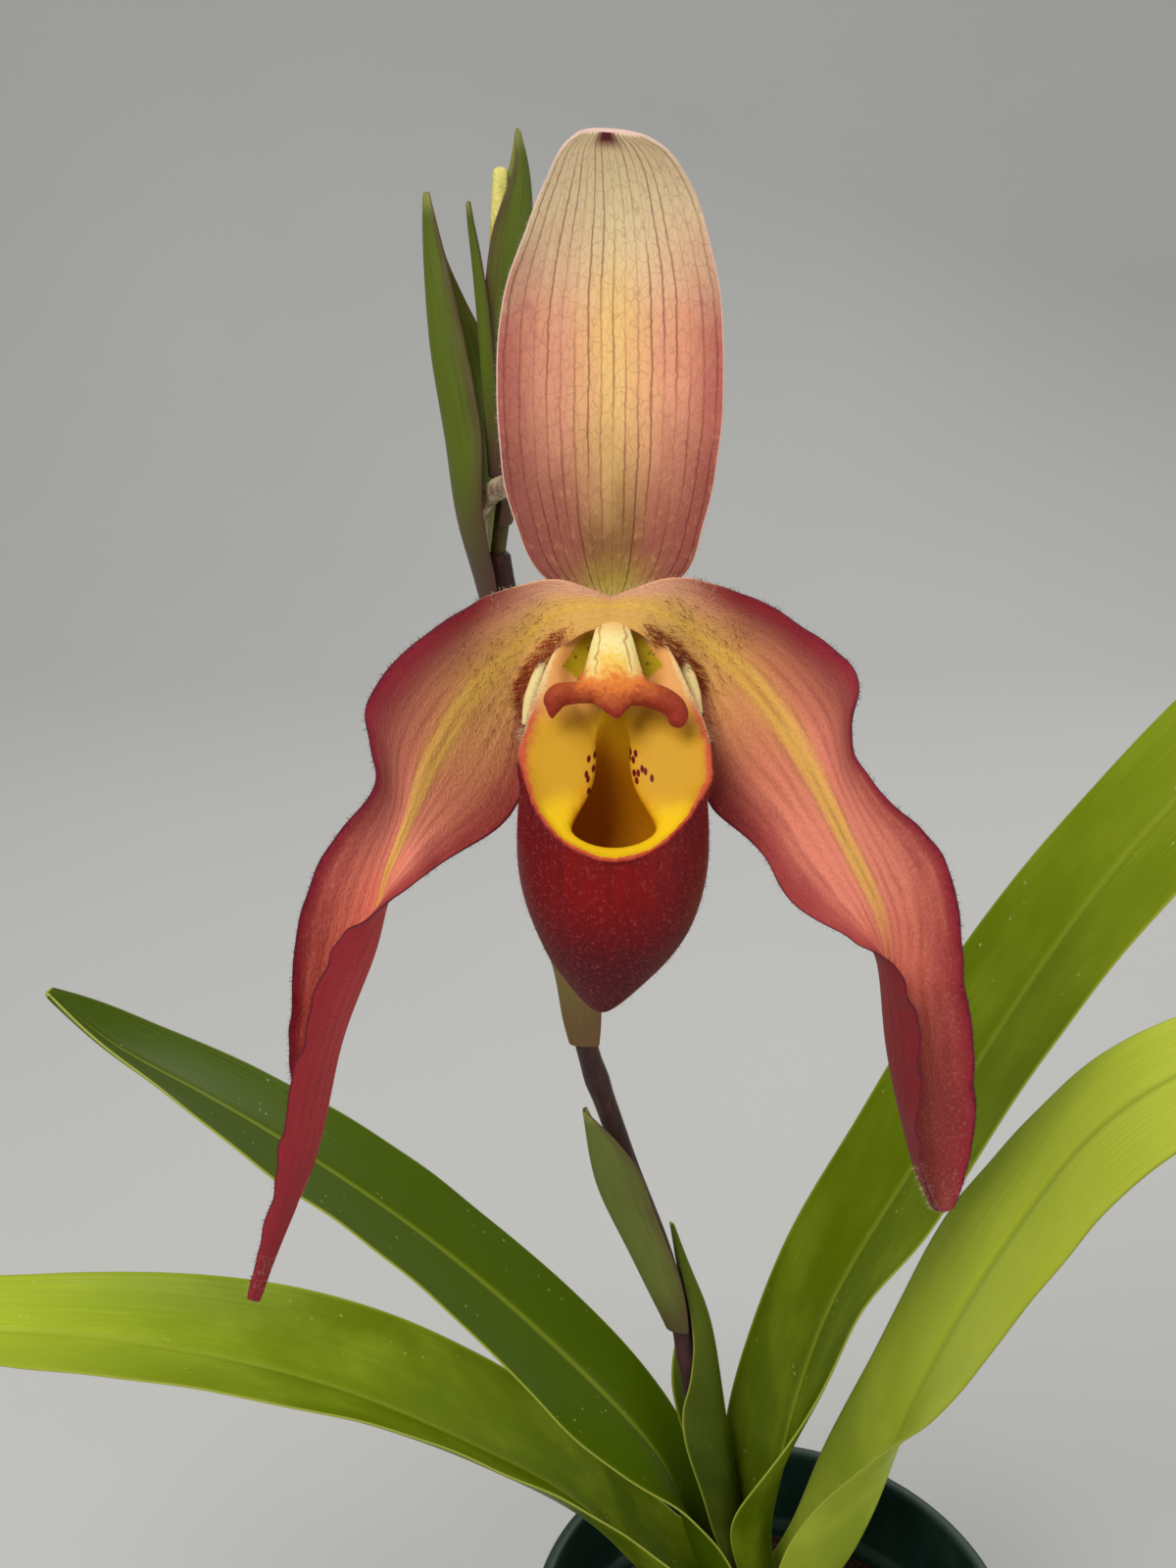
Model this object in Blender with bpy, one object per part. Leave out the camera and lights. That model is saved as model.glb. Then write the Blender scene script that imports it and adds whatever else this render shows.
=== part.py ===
"""A phragmipedium orchid in a round plastic pot, with one open flower and a bud behind it.

The origin is the centre of the pot's base, +Z is up and the flower faces -Y. Sizes and points are
in millimetres and become metres as each mesh is made. Every leaf, petal, sepal and bract is a thin
closed blade, lofted through three rails: its two edges and the rib between them.
"""

import math
import random

import bmesh
import bpy
import numpy as np
from mathutils import Euler, Matrix, Vector

MM = 0.001

# Pot, from the base up
POT_BASE_RADIUS = 42.0
POT_RIM_RADIUS = 60.0
POT_HEIGHT = 105.0
POT_WALL = 1.4
POT_FLOOR = 1.8
COLLAR_BOTTOM = 80.0
COLLAR_STEP = 2.3
LIP_HEIGHT = 3.6
POT_SIDES = 40
DRAIN_HOLES = 6
DRAIN_RADIUS = 4.2
DRAIN_CIRCLE = 31.0

# Potting mix of bark
FIT_GAP = 0.35
MIX_TOP = 80.5
MIX_CROWN_RISE = 1.0
CHIPS = 52
CHIP_SEED = 11

# Crown, where the leaf sheaths nest round the stem and stand in the mix
CROWN_X = -4.0
CROWN_FOOT = 70.0
SHEATH_MID = 86.0
CROWN_HOLE = (13.6, 10.7)
SHEATH_KEEL = 5.0
SHEATH_HALF_WIDTH = 4.2
SHEATH_KEEL_STEP = 3.4
SHEATH_WIDTH_STEP = 2.4
SHEATH_SLIT = 1.1

# Thickness of each kind of blade
LEAF_THICKNESS = 1.3
YOUNG_LEAF_THICKNESS = 0.9
PETAL_THICKNESS = 0.9
BRACT_THICKNESS = 0.8
POUCH_WALL = 0.9

# Stem and flower stalk; the hub is where the ovary ends and the flower's pieces meet
STEM_RADIUS = 2.3
STEM_TOP_RADIUS = 2.0
OVARY_RADIUS = 2.2
HUB = (-42.8, -88.6, 387.6)
HUB_RADIUS = 3.0

# Pouch, ring by ring up from its tip: centre y, height, half width, half depth, rise to the back
POUCH_SIDES = 24
POUCH_RINGS = [
    (-114.6, 338.4, 1.6, 1.6, 0.0),
    (-113.2, 341.4, 5.2, 5.0, 0.0),
    (-112.0, 345.4, 8.6, 8.4, 0.04),
    (-111.0, 350.4, 11.0, 11.0, 0.08),
    (-110.4, 356.2, 12.3, 12.2, 0.16),
    (-110.0, 361.6, 12.3, 12.4, 0.30),
    (-109.6, 366.2, 11.9, 12.2, 0.44),
]
POUCH_AXIS_Y = -109.0

# Column: a short body on the hub, a shield at its end and an anther on each side
COLUMN_AXIS = (0.0, -1.0, -0.42)
COLUMN_START = 1.6
COLUMN_LENGTH = 14.8
COLUMN_RADII = (1.6, 2.6)
SHIELD_TOP = (-102.0, 386.0)
SHIELD_LEAN = 0.62
SHIELD_DEPTH = (0.0, 2.4, 0.9)
ANTHER_RADIUS = 2.1
ANTHER_PLACE = (3.9, -102.6, 379.8)


def clear_scene():
    """Remove whatever the scene holds."""
    for obj in list(bpy.data.objects):
        bpy.data.objects.remove(obj, do_unlink=True)


def material(name, colour, roughness):
    """A plain Principled material with this colour and roughness."""
    made = bpy.data.materials.new(name)
    made.use_nodes = True
    shader = made.node_tree.nodes["Principled BSDF"]
    shader.inputs["Base Color"].default_value = (*colour, 1.0)
    shader.inputs["Roughness"].default_value = roughness
    return made


def add_object(name, bm, finish, smooth_angle=40.0):
    """Make one object of the bmesh, whose sizes are in millimetres."""
    bm.transform(Matrix.Scale(MM, 4))
    mesh = bpy.data.meshes.new(name)
    bm.to_mesh(mesh)
    bm.free()
    mesh.materials.append(finish)
    mesh.shade_smooth()
    mesh.set_sharp_from_angle(angle=math.radians(smooth_angle))
    obj = bpy.data.objects.new(name, mesh)
    bpy.context.scene.collection.objects.link(obj)
    return obj


def apply_boolean(obj, operation, others):
    """Apply one Boolean of a collection of objects to obj, and remove them."""
    tools = bpy.data.collections.new(obj.name + "_tools")
    bpy.context.scene.collection.children.link(tools)
    for other in others:
        bpy.context.scene.collection.objects.unlink(other)
        tools.objects.link(other)
    cut = obj.modifiers.new("Boolean", "BOOLEAN")
    cut.operation = operation
    cut.operand_type = "COLLECTION"
    cut.collection = tools
    cut.solver = "EXACT"
    bpy.context.view_layer.update()
    done = bpy.data.meshes.new_from_object(obj.evaluated_get(bpy.context.evaluated_depsgraph_get()))
    obj.modifiers.clear()
    obj.data = done
    for other in others:
        bpy.data.objects.remove(other, do_unlink=True)
    bpy.data.collections.remove(tools)
    return obj


def keep_outer_shell(obj):
    """Fill the hollows that fusing sealed: only the shell that reaches furthest is kept."""
    bm = bmesh.new()
    bm.from_mesh(obj.data)
    unseen = set(bm.verts)
    shells = []
    while unseen:
        shell, front = set(), [unseen.pop()]
        while front:
            vert = front.pop()
            shell.add(vert)
            near = {edge.other_vert(vert) for edge in vert.link_edges} & unseen
            unseen -= near
            front.extend(near)
        shells.append(shell)
    widest = max(shells, key=lambda shell: max(vert.co.length for vert in shell))
    bmesh.ops.delete(bm, geom=[vert for vert in bm.verts if vert not in widest], context="VERTS")
    bm.to_mesh(obj.data)
    bm.free()


def smooth_curve(points, count):
    """Read count points from the natural cubic spline through these points."""
    knots = np.array(points, dtype=float)
    steps = np.linalg.norm(np.diff(knots, axis=0), axis=1)
    place = np.concatenate(([0.0], np.cumsum(np.maximum(steps, 1e-6))))
    return spline_at(knots, place, np.linspace(0.0, place[-1], count))


def spline_at(knots, place, wanted):
    """Natural cubic spline through the knots, which stand at these places, read where wanted."""
    last = len(knots) - 1
    gap = np.diff(place)
    system = np.eye(last + 1)
    right = np.zeros_like(knots)
    for i in range(1, last):
        system[i, i - 1] = gap[i - 1]
        system[i, i] = 2.0 * (gap[i - 1] + gap[i])
        system[i, i + 1] = gap[i]
        right[i] = 6.0 * ((knots[i + 1] - knots[i]) / gap[i] - (knots[i] - knots[i - 1]) / gap[i - 1])
    bend = np.linalg.solve(system, right)
    read = []
    for at in wanted:
        i = min(max(int(np.searchsorted(place, at)) - 1, 0), last - 1)
        ahead = (place[i + 1] - at) / gap[i]
        behind = 1.0 - ahead
        curve = (ahead**3 - ahead) * bend[i] + (behind**3 - behind) * bend[i + 1]
        read.append(ahead * knots[i] + behind * knots[i + 1] + curve * gap[i] ** 2 / 6.0)
    return np.array(read)


def loft(stations, along, across, fold):
    """Grid of points on a blade.

    Each station is (edge, rib, edge). fold is 0 for a section that bows in one arc through the three
    points, and 1 for two flat halves that meet at the rib.
    """
    stations = np.array(stations, dtype=float)
    steps = np.linalg.norm(np.diff(stations, axis=0), axis=2).mean(axis=1)
    place = np.concatenate(([0.0], np.cumsum(steps)))
    wanted = np.linspace(0.0, place[-1], along + 1)
    first, rib, second = (spline_at(stations[:, rail], place, wanted) for rail in range(3))
    grid = np.empty((along + 1, across + 1, 3))
    for column in range(across + 1):
        t = column / across
        handle = 2.0 * rib - 0.5 * (first + second)
        arc = (1 - t) ** 2 * first + 2 * t * (1 - t) * handle + t**2 * second
        side = first if t <= 0.5 else second
        weight = abs(1.0 - 2.0 * t)
        flat = weight * side + (1.0 - weight) * rib
        grid[:, column] = (1.0 - fold) * arc + fold * flat
    return grid


def blade_mesh(grid, thickness):
    """Closed sheet of this thickness round a grid, with both faces split into triangles alike."""
    along = np.gradient(grid, axis=0)
    across = np.gradient(grid, axis=1)
    normal = np.cross(along, across)
    normal /= np.maximum(np.linalg.norm(normal, axis=2, keepdims=True), 1e-9)
    rows, columns = grid.shape[:2]
    bm = bmesh.new()
    sheets = []
    for side in (0.5, -0.5):
        face = grid + side * thickness * normal
        sheets.append([[bm.verts.new(point) for point in row] for row in face])
    for i in range(rows - 1):
        for j in range(columns - 1):
            for sheet, turn in zip(sheets, (1, -1)):
                a, b = sheet[i][j], sheet[i + 1][j]
                c, d = sheet[i + 1][j + 1], sheet[i][j + 1]
                for corners in ((a, b, c), (a, c, d)):
                    bm.faces.new(corners[::turn])
    border = [(i, 0) for i in range(rows)]
    border += [(rows - 1, j) for j in range(1, columns)]
    border += [(i, columns - 1) for i in range(rows - 2, -1, -1)]
    border += [(0, j) for j in range(columns - 2, 0, -1)]
    for (i, j), (k, m) in zip(border, border[1:] + border[:1]):
        top, under = sheets
        bm.faces.new((top[i][j], under[i][j], top[k][m]))
        bm.faces.new((top[k][m], under[i][j], under[k][m]))
    bmesh.ops.recalc_face_normals(bm, faces=bm.faces)
    return bm


def blade(name, stations, finish, thickness, along=18, across=6, fold=0.0):
    """One leaf, petal, sepal or bract."""
    return add_object(name, blade_mesh(loft(stations, along, across, fold), thickness), finish, 50.0)


def sheath(side, rank, height, spread=1.0):
    """Station of a leaf base in the crown: side is -1 or 1, rank counts outwards from the stem."""
    keel = CROWN_X + side * (SHEATH_KEEL + rank * SHEATH_KEEL_STEP) * spread
    edge = CROWN_X + side * SHEATH_SLIT
    half = (SHEATH_HALF_WIDTH + rank * SHEATH_WIDTH_STEP) * spread
    return ((edge, half, height), (keel, 0.0, height), (edge, -half, height))


def turned(name, profile, finish, sides):
    """Solid turned round Z from an open profile of (radius, height) that starts and ends on the axis."""
    bm = bmesh.new()
    points = [bm.verts.new((radius, 0.0, height)) for radius, height in profile]
    edges = [bm.edges.new(pair) for pair in zip(points, points[1:])]
    bmesh.ops.spin(bm, geom=points + edges, axis=(0, 0, 1), cent=(0, 0, 0), steps=sides, angle=math.tau)
    bmesh.ops.remove_doubles(bm, verts=bm.verts, dist=0.001)
    bmesh.ops.recalc_face_normals(bm, faces=bm.faces)
    return add_object(name, bm, finish, 30.0)


def cylinder(name, radius, centre, depth, finish, sides=12, scale_y=1.0):
    """Upright cylinder, used to cut a hole."""
    bm = bmesh.new()
    place = Matrix.Translation(Vector(centre)) @ Matrix.Diagonal((1.0, scale_y, 1.0, 1.0))
    bmesh.ops.create_cone(
        bm, cap_ends=True, segments=sides, radius1=radius, radius2=radius, depth=depth, matrix=place
    )
    return add_object(name, bm, finish)


def wall_radius(height):
    """Outer radius of the pot's tapered body at this height."""
    start, end = POT_BASE_RADIUS, POT_RIM_RADIUS - LIP_HEIGHT - COLLAR_STEP
    return start + (end - start) * height / COLLAR_BOTTOM


def pot(finish):
    """Tapered pot with a wider collar, a turned-out lip and drain holes round a solid centre."""
    collar = wall_radius(COLLAR_BOTTOM) + COLLAR_STEP
    lip_base = POT_HEIGHT - LIP_HEIGHT
    outside = [
        (0.0, 0.0),
        (POT_BASE_RADIUS - 1.5, 0.0),
        (POT_BASE_RADIUS, 2.0),
        (wall_radius(COLLAR_BOTTOM), COLLAR_BOTTOM),
        (collar, COLLAR_BOTTOM + 2.0),
        (collar + 1.4, lip_base),
        (POT_RIM_RADIUS, lip_base + 0.4),
        (POT_RIM_RADIUS, POT_HEIGHT - 0.8),
        (POT_RIM_RADIUS - 0.8, POT_HEIGHT),
    ]
    inside = [
        (POT_RIM_RADIUS - 2.9, POT_HEIGHT),
        (collar + 1.4 - POT_WALL, lip_base - 0.6),
        (collar - POT_WALL, COLLAR_BOTTOM + 2.8),
        (wall_radius(COLLAR_BOTTOM) - POT_WALL, COLLAR_BOTTOM + 0.6),
        (wall_radius(4.0) - POT_WALL, 4.0),
        (wall_radius(2.0) - POT_WALL - 2.0, POT_FLOOR),
        (0.0, POT_FLOOR),
    ]
    body = turned("pot", outside + inside, finish, POT_SIDES)
    cutters = []
    for turn in range(DRAIN_HOLES):
        angle = math.tau * (turn + 0.5) / DRAIN_HOLES
        centre = (DRAIN_CIRCLE * math.cos(angle), DRAIN_CIRCLE * math.sin(angle), 0.0)
        cutters.append(cylinder(f"drain_{turn}", DRAIN_RADIUS, centre, 4 * POT_FLOOR, finish, 10))
    return apply_boolean(body, "DIFFERENCE", cutters)


def bark_chip(rng, name, finish):
    """One rough block of bark, sunk about half way into the mix."""
    clear = (CROWN_HOLE[0] + 7.0, CROWN_HOLE[1] + 6.0)
    while True:
        x, y = rng.uniform(-46, 46), rng.uniform(-46, 46)
        if math.hypot(x, y) > 45.0:
            continue
        if math.hypot((x - CROWN_X) / clear[0], y / clear[1]) > 1.0:
            break
    size = (rng.uniform(6.0, 13.0), rng.uniform(4.0, 7.5), rng.uniform(3.0, 5.0))
    bm = bmesh.new()
    bmesh.ops.create_cube(bm, size=1.0, matrix=Matrix.Diagonal((*size, 1.0)))
    for corner in bm.verts:
        corner.co += Vector([rng.uniform(-0.9, 0.9) for _ in range(3)])
    turn = Euler((rng.gauss(0, 0.28), rng.gauss(0, 0.28), rng.uniform(0, math.tau))).to_matrix().to_4x4()
    height = MIX_TOP + rng.uniform(-0.2, 1.6)
    bm.transform(Matrix.Translation((x, y, height)) @ turn)
    return add_object(name, bm, finish)


def potting_mix(finish):
    """Bark that fills the pot to its collar, with chips on top and a hole for the crown."""
    inner = -POT_WALL - FIT_GAP
    top_radius = wall_radius(COLLAR_BOTTOM) + inner
    profile = [
        (0.0, POT_FLOOR + FIT_GAP),
        (wall_radius(2.0) + inner - 2.6, POT_FLOOR + FIT_GAP),
        (wall_radius(4.0) + inner - 0.2, 4.0 + 2 * FIT_GAP),
        (top_radius - 0.2, MIX_TOP - 1.5),
        (top_radius - 6.0, MIX_TOP),
        (top_radius - 26.0, MIX_TOP + MIX_CROWN_RISE),
        (0.0, MIX_TOP + MIX_CROWN_RISE),
    ]
    mix = turned("potting_mix", profile, finish, POT_SIDES)
    rng = random.Random(CHIP_SEED)
    chips = [bark_chip(rng, f"chip_{n}", finish) for n in range(CHIPS)]
    apply_boolean(mix, "UNION", chips)
    depth = 2 * (MIX_TOP + 20.0 - (CROWN_FOOT - 2 * FIT_GAP))
    centre = (CROWN_X, 0.0, MIX_TOP + 20.0)
    ratio = CROWN_HOLE[1] / CROWN_HOLE[0]
    hole = cylinder("crown_hole", CROWN_HOLE[0], centre, depth, finish, 24, ratio)
    apply_boolean(mix, "DIFFERENCE", [hole])
    keep_outer_shell(mix)
    return mix


def rod(name, route, radii, finish, points=24, bevel=3):
    """Round stalk along a smooth curve, with a radius that runs evenly through the radii given."""
    curve = bpy.data.curves.new(name, "CURVE")
    curve.dimensions = "3D"
    curve.bevel_depth = MM
    curve.bevel_resolution = bevel
    curve.use_fill_caps = True
    line = curve.splines.new("POLY")
    places = smooth_curve(route, points)
    line.points.add(points - 1)
    widths = np.interp(np.linspace(0, 1, points), np.linspace(0, 1, len(radii)), radii)
    for point, place, width in zip(line.points, places, widths):
        point.co = (*(Vector(place) * MM), 1.0)
        point.radius = width
    curve.materials.append(finish)
    obj = bpy.data.objects.new(name, curve)
    bpy.context.scene.collection.objects.link(obj)
    return obj


STEM_ROUTE = [
    (CROWN_X, 0, CROWN_FOOT),
    (-5.5, 0, 95),
    (-12.2, 0, 128),
    (-20.8, -2, 173),
    (-25.2, -4.5, 200),
    (-31.0, -10, 225),
    (-37.6, -16, 247.5),
    (-42.4, -21.5, 266),
    (-46.0, -26.5, 281),
    (-48.4, -32.5, 300),
    (-51.0, -38, 322),
    (-54.4, -44, 346),
    (-57.6, -48.5, 365),
    (-60.2, -52, 384),
]
STEM_TOP = Vector(STEM_ROUTE[-1])


def leaves(finish, young_finish):
    """The fan: two leaves to each side, and a narrow young one round the stem."""
    left_upper = [
        ((-160, 1.4, 280.5), (-161, 0, 280), (-160, -0.8, 280)),
        ((-151, 7, 274), (-150, 0, 269), (-148, -7, 271)),
        ((-139, 12, 265), (-136, 0, 259), (-133, -13, 262)),
        ((-117, 15, 251), (-114, 0, 243), (-111, -17, 244)),
        ((-87, 15, 229), (-86, 0, 220), (-84, -17, 220)),
        ((-60, 14, 204), (-60, 0, 195), (-59, -17, 190)),
        ((-41, 11, 185), (-41, 0, 173), (-42, -15, 168)),
        ((-25, 8, 163), (-26.5, 0, 150), (-25, -11, 150)),
        ((-14.5, 7.8, 136), (-19.5, 0, 126), (-13.4, -8.8, 134)),
        sheath(-1, 1, 104, 1.08),
        sheath(-1, 1, SHEATH_MID),
        sheath(-1, 1, CROWN_FOOT),
    ]
    left_lower = [
        ((-232, 0, 189.5), (-233, -1, 189), (-232, -2, 189.5)),
        ((-222, 7, 194), (-221, -1, 189), (-220, -9, 191)),
        ((-205, 11, 198), (-203, 0, 191), (-201, -12, 194)),
        ((-185, 12, 199), (-182, 0, 192), (-179, -14, 195)),
        ((-143, 14, 198), (-141, 0, 187), (-138, -16, 191)),
        ((-100, 13, 190), (-100, 0, 174), (-98, -16, 181)),
        ((-72, 12, 176), (-71, 0, 158), (-71, -16, 169)),
        ((-47, 10, 157), (-46, 0, 139), (-47, -14, 152)),
        ((-29, 9, 135), (-31, 0, 119), (-29, -11, 135)),
        sheath(-1, 2, 104, 1.08),
        sheath(-1, 2, SHEATH_MID),
        sheath(-1, 2, CROWN_FOOT),
    ]
    right_upper = [
        ((181, 9, 361), (182, 8, 360), (181, 7, 361)),
        ((162, 15, 370), (163, 8, 366), (163, 0, 368)),
        ((130, 19, 372), (133, 6, 366), (134, -8, 366)),
        ((100, 18, 361), (105, 3, 353), (107, -13, 350)),
        ((76, 15, 340), (81, 1, 332), (83, -15, 326)),
        ((55, 15, 313), (60, 0, 304), (62, -16, 299)),
        ((30, 15, 272), (37, 0, 260), (39, -16, 257)),
        ((15, 14, 240), (22, 0, 228), (25, -15, 228)),
        ((1, 12, 211), (10, 0, 200), (13, -14, 207)),
        ((-8, 9, 184), (3, 0, 172), (6, -12, 184)),
        ((-13, 7, 156), (-0.5, 0, 148), (-8, -9, 154)),
        ((-11.8, 6.0, 131), (-1.7, 0, 128), (-11.8, -6.2, 136)),
        sheath(1, 1, 104, 1.08),
        sheath(1, 1, SHEATH_MID),
        sheath(1, 1, CROWN_FOOT),
    ]
    right_lower = [
        ((148, -41, 269), (149, -42, 268), (148, -43, 269)),
        ((131, -31, 284), (132, -38, 280), (132, -46, 281)),
        ((102, -18, 292), (104, -32, 287), (104, -47, 285)),
        ((76, -10, 280), (79, -25, 278), (78, -42, 276)),
        ((61, -4, 265), (61, -19, 260), (62, -35, 256)),
        ((49, 2, 245), (50, -14, 238), (52, -30, 235)),
        ((39, 6, 226), (42, -10, 217), (43, -25, 212)),
        ((30, 9, 202), (35, -5, 193), (34, -20, 190)),
        ((21, 9, 176), (29, -1, 168), (24, -16, 175)),
        ((11, 8, 150), (25, 0, 146), (9, -10, 152)),
        ((4, 8, 126), (18, 0, 124), (-0.5, -9, 131)),
        sheath(1, 2, 104, 1.1),
        sheath(1, 2, SHEATH_MID),
        sheath(1, 2, CROWN_FOOT),
    ]
    young = [
        ((-28.0, -4.8, 226), (-27.6, -5.2, 226), (-28.0, -5.6, 226)),
        ((-26.2, -2.6, 214), (-23.8, -4.6, 215), (-25.4, -6.2, 214)),
        ((-24.6, -0.4, 201), (-19.6, -3.4, 203), (-22.8, -6.6, 201)),
        ((-26.4, 2.0, 182), (-16.4, -2.0, 186), (-22.6, -6.2, 184)),
        ((-24.8, 3.4, 166), (-14.0, -1.2, 168), (-24.0, -6.2, 170)),
        ((-19.4, 4.6, 147), (-10.4, -0.2, 147), (-19.2, -5.6, 150)),
        ((-13.6, 4.3, 128), (-6.2, 0.0, 126), (-13.6, -4.7, 130)),
        sheath(1, 0, 104, 1.1),
        sheath(1, 0, SHEATH_MID),
        sheath(1, 0, CROWN_FOOT),
    ]
    blade("leaf_left_upper", left_upper, finish, LEAF_THICKNESS, 24, 6, 0.5)
    blade("leaf_left_lower", left_lower, finish, LEAF_THICKNESS, 24, 6, 0.5)
    blade("leaf_right_upper", right_upper, finish, LEAF_THICKNESS, 30, 6, 0.5)
    blade("leaf_right_lower", right_lower, finish, LEAF_THICKNESS, 26, 6, 0.5)
    blade("leaf_young", young, young_finish, YOUNG_LEAF_THICKNESS, 20, 6)


def stalk_bracts(finish):
    """Boat-shaped bracts whose feet wrap the stem at its joints."""
    lower = [
        ((-46.2, -29.2, 270), (-46.8, -29.8, 270), (-46.6, -30.8, 270)),
        ((-42.4, -21.6, 256), (-45.0, -25.6, 256), (-40.2, -27.4, 256)),
        ((-38.2, -11.4, 238), (-41.4, -18.0, 238.5), (-34.8, -19.6, 238)),
        ((-31.0, -6.2, 222), (-36.0, -12.0, 221.5), (-30.0, -14.4, 222)),
        ((-27.2, -1.8, 206), (-30.6, -6.8, 205.5), (-26.8, -9.8, 206)),
        ((-25.4, -0.6, 197.5), (-28.2, -4.4, 197), (-25.2, -7.8, 197.5)),
    ]
    middle = [
        ((-57.6, -37.0, 330), (-58.0, -37.8, 330), (-57.6, -38.6, 330)),
        ((-54.6, -31.0, 317), (-56.8, -35.8, 317), (-54.2, -40.0, 317)),
        ((-49.8, -28.4, 303), (-52.8, -33.2, 303), (-49.6, -37.8, 303)),
        ((-47.0, -25.6, 291), (-51.2, -30.2, 290), (-47.0, -34.2, 291)),
        ((-45.6, -23.2, 283), (-49.8, -27.6, 282), (-45.8, -31.2, 283)),
    ]
    blade("bract_lower", lower, finish, BRACT_THICKNESS, 14, 6)
    blade("bract_middle", middle, finish, BRACT_THICKNESS, 12, 6)


def top_bracts(finish):
    """Bracts at the head of the stem: the open flower's, the bud's and a small one between them."""
    flower_bract = [
        ((-69.4, -49.6, 438), (-70.0, -50.0, 438), (-69.4, -50.4, 438)),
        ((-67.0, -48.4, 428), (-70.2, -50.6, 428), (-66.8, -53.0, 428)),
        ((-61.6, -45.2, 415), (-69.2, -51.4, 415), (-63.8, -55.4, 415)),
        ((-60.8, -44.2, 402), (-67.6, -52.0, 402), (-62.0, -58.0, 402)),
        ((-60.2, -45.2, 391), (-66.2, -52.4, 391), (-61.8, -58.6, 391)),
        ((-59.6, -46.2, 383), (-64.4, -51.8, 383), (-60.6, -56.6, 383)),
        ((-59.4, -46.6, 377), (-63.0, -50.6, 377), (-60.2, -54.8, 377)),
    ]
    bud_bract = [
        ((-57.0, -49.6, 447), (-56.4, -50.0, 447.4), (-57.0, -50.4, 447)),
        ((-59.0, -48.0, 436), (-54.6, -50.4, 437), (-59.0, -52.6, 436)),
        ((-60.6, -46.8, 423), (-54.2, -50.8, 423), (-60.4, -54.4, 423)),
        ((-60.0, -46.6, 408), (-54.0, -50.6, 408), (-59.4, -54.6, 408)),
        ((-58.2, -46.8, 395), (-54.0, -50.6, 395), (-57.6, -54.4, 395)),
        ((-57.8, -47.4, 386), (-55.4, -50.8, 386), (-57.4, -54.2, 386)),
    ]
    small_bract = [
        ((-63.4, -53.8, 436.6), (-63.7, -54.0, 436.6), (-63.6, -54.3, 436.6)),
        ((-62.2, -54.0, 428), (-62.8, -54.8, 428), (-61.8, -55.2, 428)),
        ((-61.4, -54.6, 415), (-61.7, -55.6, 415), (-60.3, -55.8, 415)),
        ((-60.9, -54.8, 403), (-60.9, -55.8, 403), (-59.5, -55.9, 403)),
    ]
    blade("bract_flower", flower_bract, finish, BRACT_THICKNESS, 14, 6)
    blade("bract_bud", bud_bract, finish, BRACT_THICKNESS, 14, 6)
    blade("bract_small", small_bract, finish, BRACT_THICKNESS, 8, 4)


def flower_stalk(stem_finish, ovary_finish, bud_finish):
    """The stem, the bud at its head and the ovary that carries the open flower."""
    rod("flower_stem", STEM_ROUTE, (STEM_RADIUS, STEM_RADIUS, STEM_TOP_RADIUS), stem_finish, 36, 2)
    bud_foot = STEM_TOP + Vector((0.0, 0.0, 0.9))
    bud_route = [bud_foot, (-58.4, -51.0, 400), (-58.1, -50.6, 420), (-59.2, -50.6, 439)]
    rod("bud", bud_route, (1.2, 1.3, 1.9, 2.0, 1.7, 0.5), bud_finish, 14, 2)
    ovary_route = [(-63.0, -52.2, 387), (-62.8, -53.6, 392), (-59.8, -56.8, 395.4), (-50.8, -71, 395.4), HUB]
    rod("ovary", ovary_route, (1.5, 1.6, 1.8, OVARY_RADIUS, 2.5, HUB_RADIUS), ovary_finish, 22)


def sepals(finish):
    """The hooded sepal above the flower, and the joined pair that hangs behind its pouch."""
    dorsal = [
        ((-45.0, -91.0, 390.2), (-42.8, -90.6, 390.0), (-40.6, -91.0, 390.2)),
        ((-49.3, -94.0, 391.8), (-42.8, -91.8, 391.4), (-36.1, -94.0, 392.0)),
        ((-53.6, -97.2, 396.2), (-42.8, -93.2, 395.6), (-32.6, -97.2, 396.4)),
        ((-56.3, -99.0, 405.6), (-43.0, -93.6, 404.8), (-30.5, -99.0, 406.0)),
        ((-56.8, -99.0, 416.7), (-43.0, -93.8, 416.2), (-29.8, -99.0, 417.0)),
        ((-55.4, -99.4, 426.8), (-43.0, -95.0, 426.8), (-30.7, -99.4, 427.4)),
        ((-52.5, -100.8, 434.4), (-42.7, -97.4, 434.8), (-33.6, -100.8, 434.8)),
        ((-49.2, -102.8, 440.4), (-42.4, -100.6, 441.0), (-36.5, -102.8, 440.6)),
        ((-46.0, -104.4, 443.0), (-42.4, -103.2, 443.6), (-39.0, -104.4, 443.0)),
    ]
    synsepal = [
        ((-45.4, -92.3, 383.4), (-42.8, -91.7, 383.2), (-40.2, -92.3, 383.4)),
        ((-49.8, -93.3, 379.0), (-42.8, -90.4, 378.4), (-35.8, -93.3, 379.0)),
        ((-52.6, -95.0, 370.0), (-42.8, -90.4, 369.4), (-33.0, -95.0, 370.0)),
        ((-51.8, -97.2, 360.0), (-42.8, -92.8, 359.4), (-33.8, -97.2, 360.0)),
        ((-48.4, -99.6, 351.6), (-42.8, -97.4, 350.8), (-37.2, -99.6, 351.6)),
        ((-43.8, -101.6, 346.8), (-42.8, -101.4, 346.6), (-41.8, -101.6, 346.8)),
    ]
    blade("dorsal_sepal", dorsal, finish, PETAL_THICKNESS, 18, 8)
    blade("synsepal", synsepal, finish, PETAL_THICKNESS, 12, 8)


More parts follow.
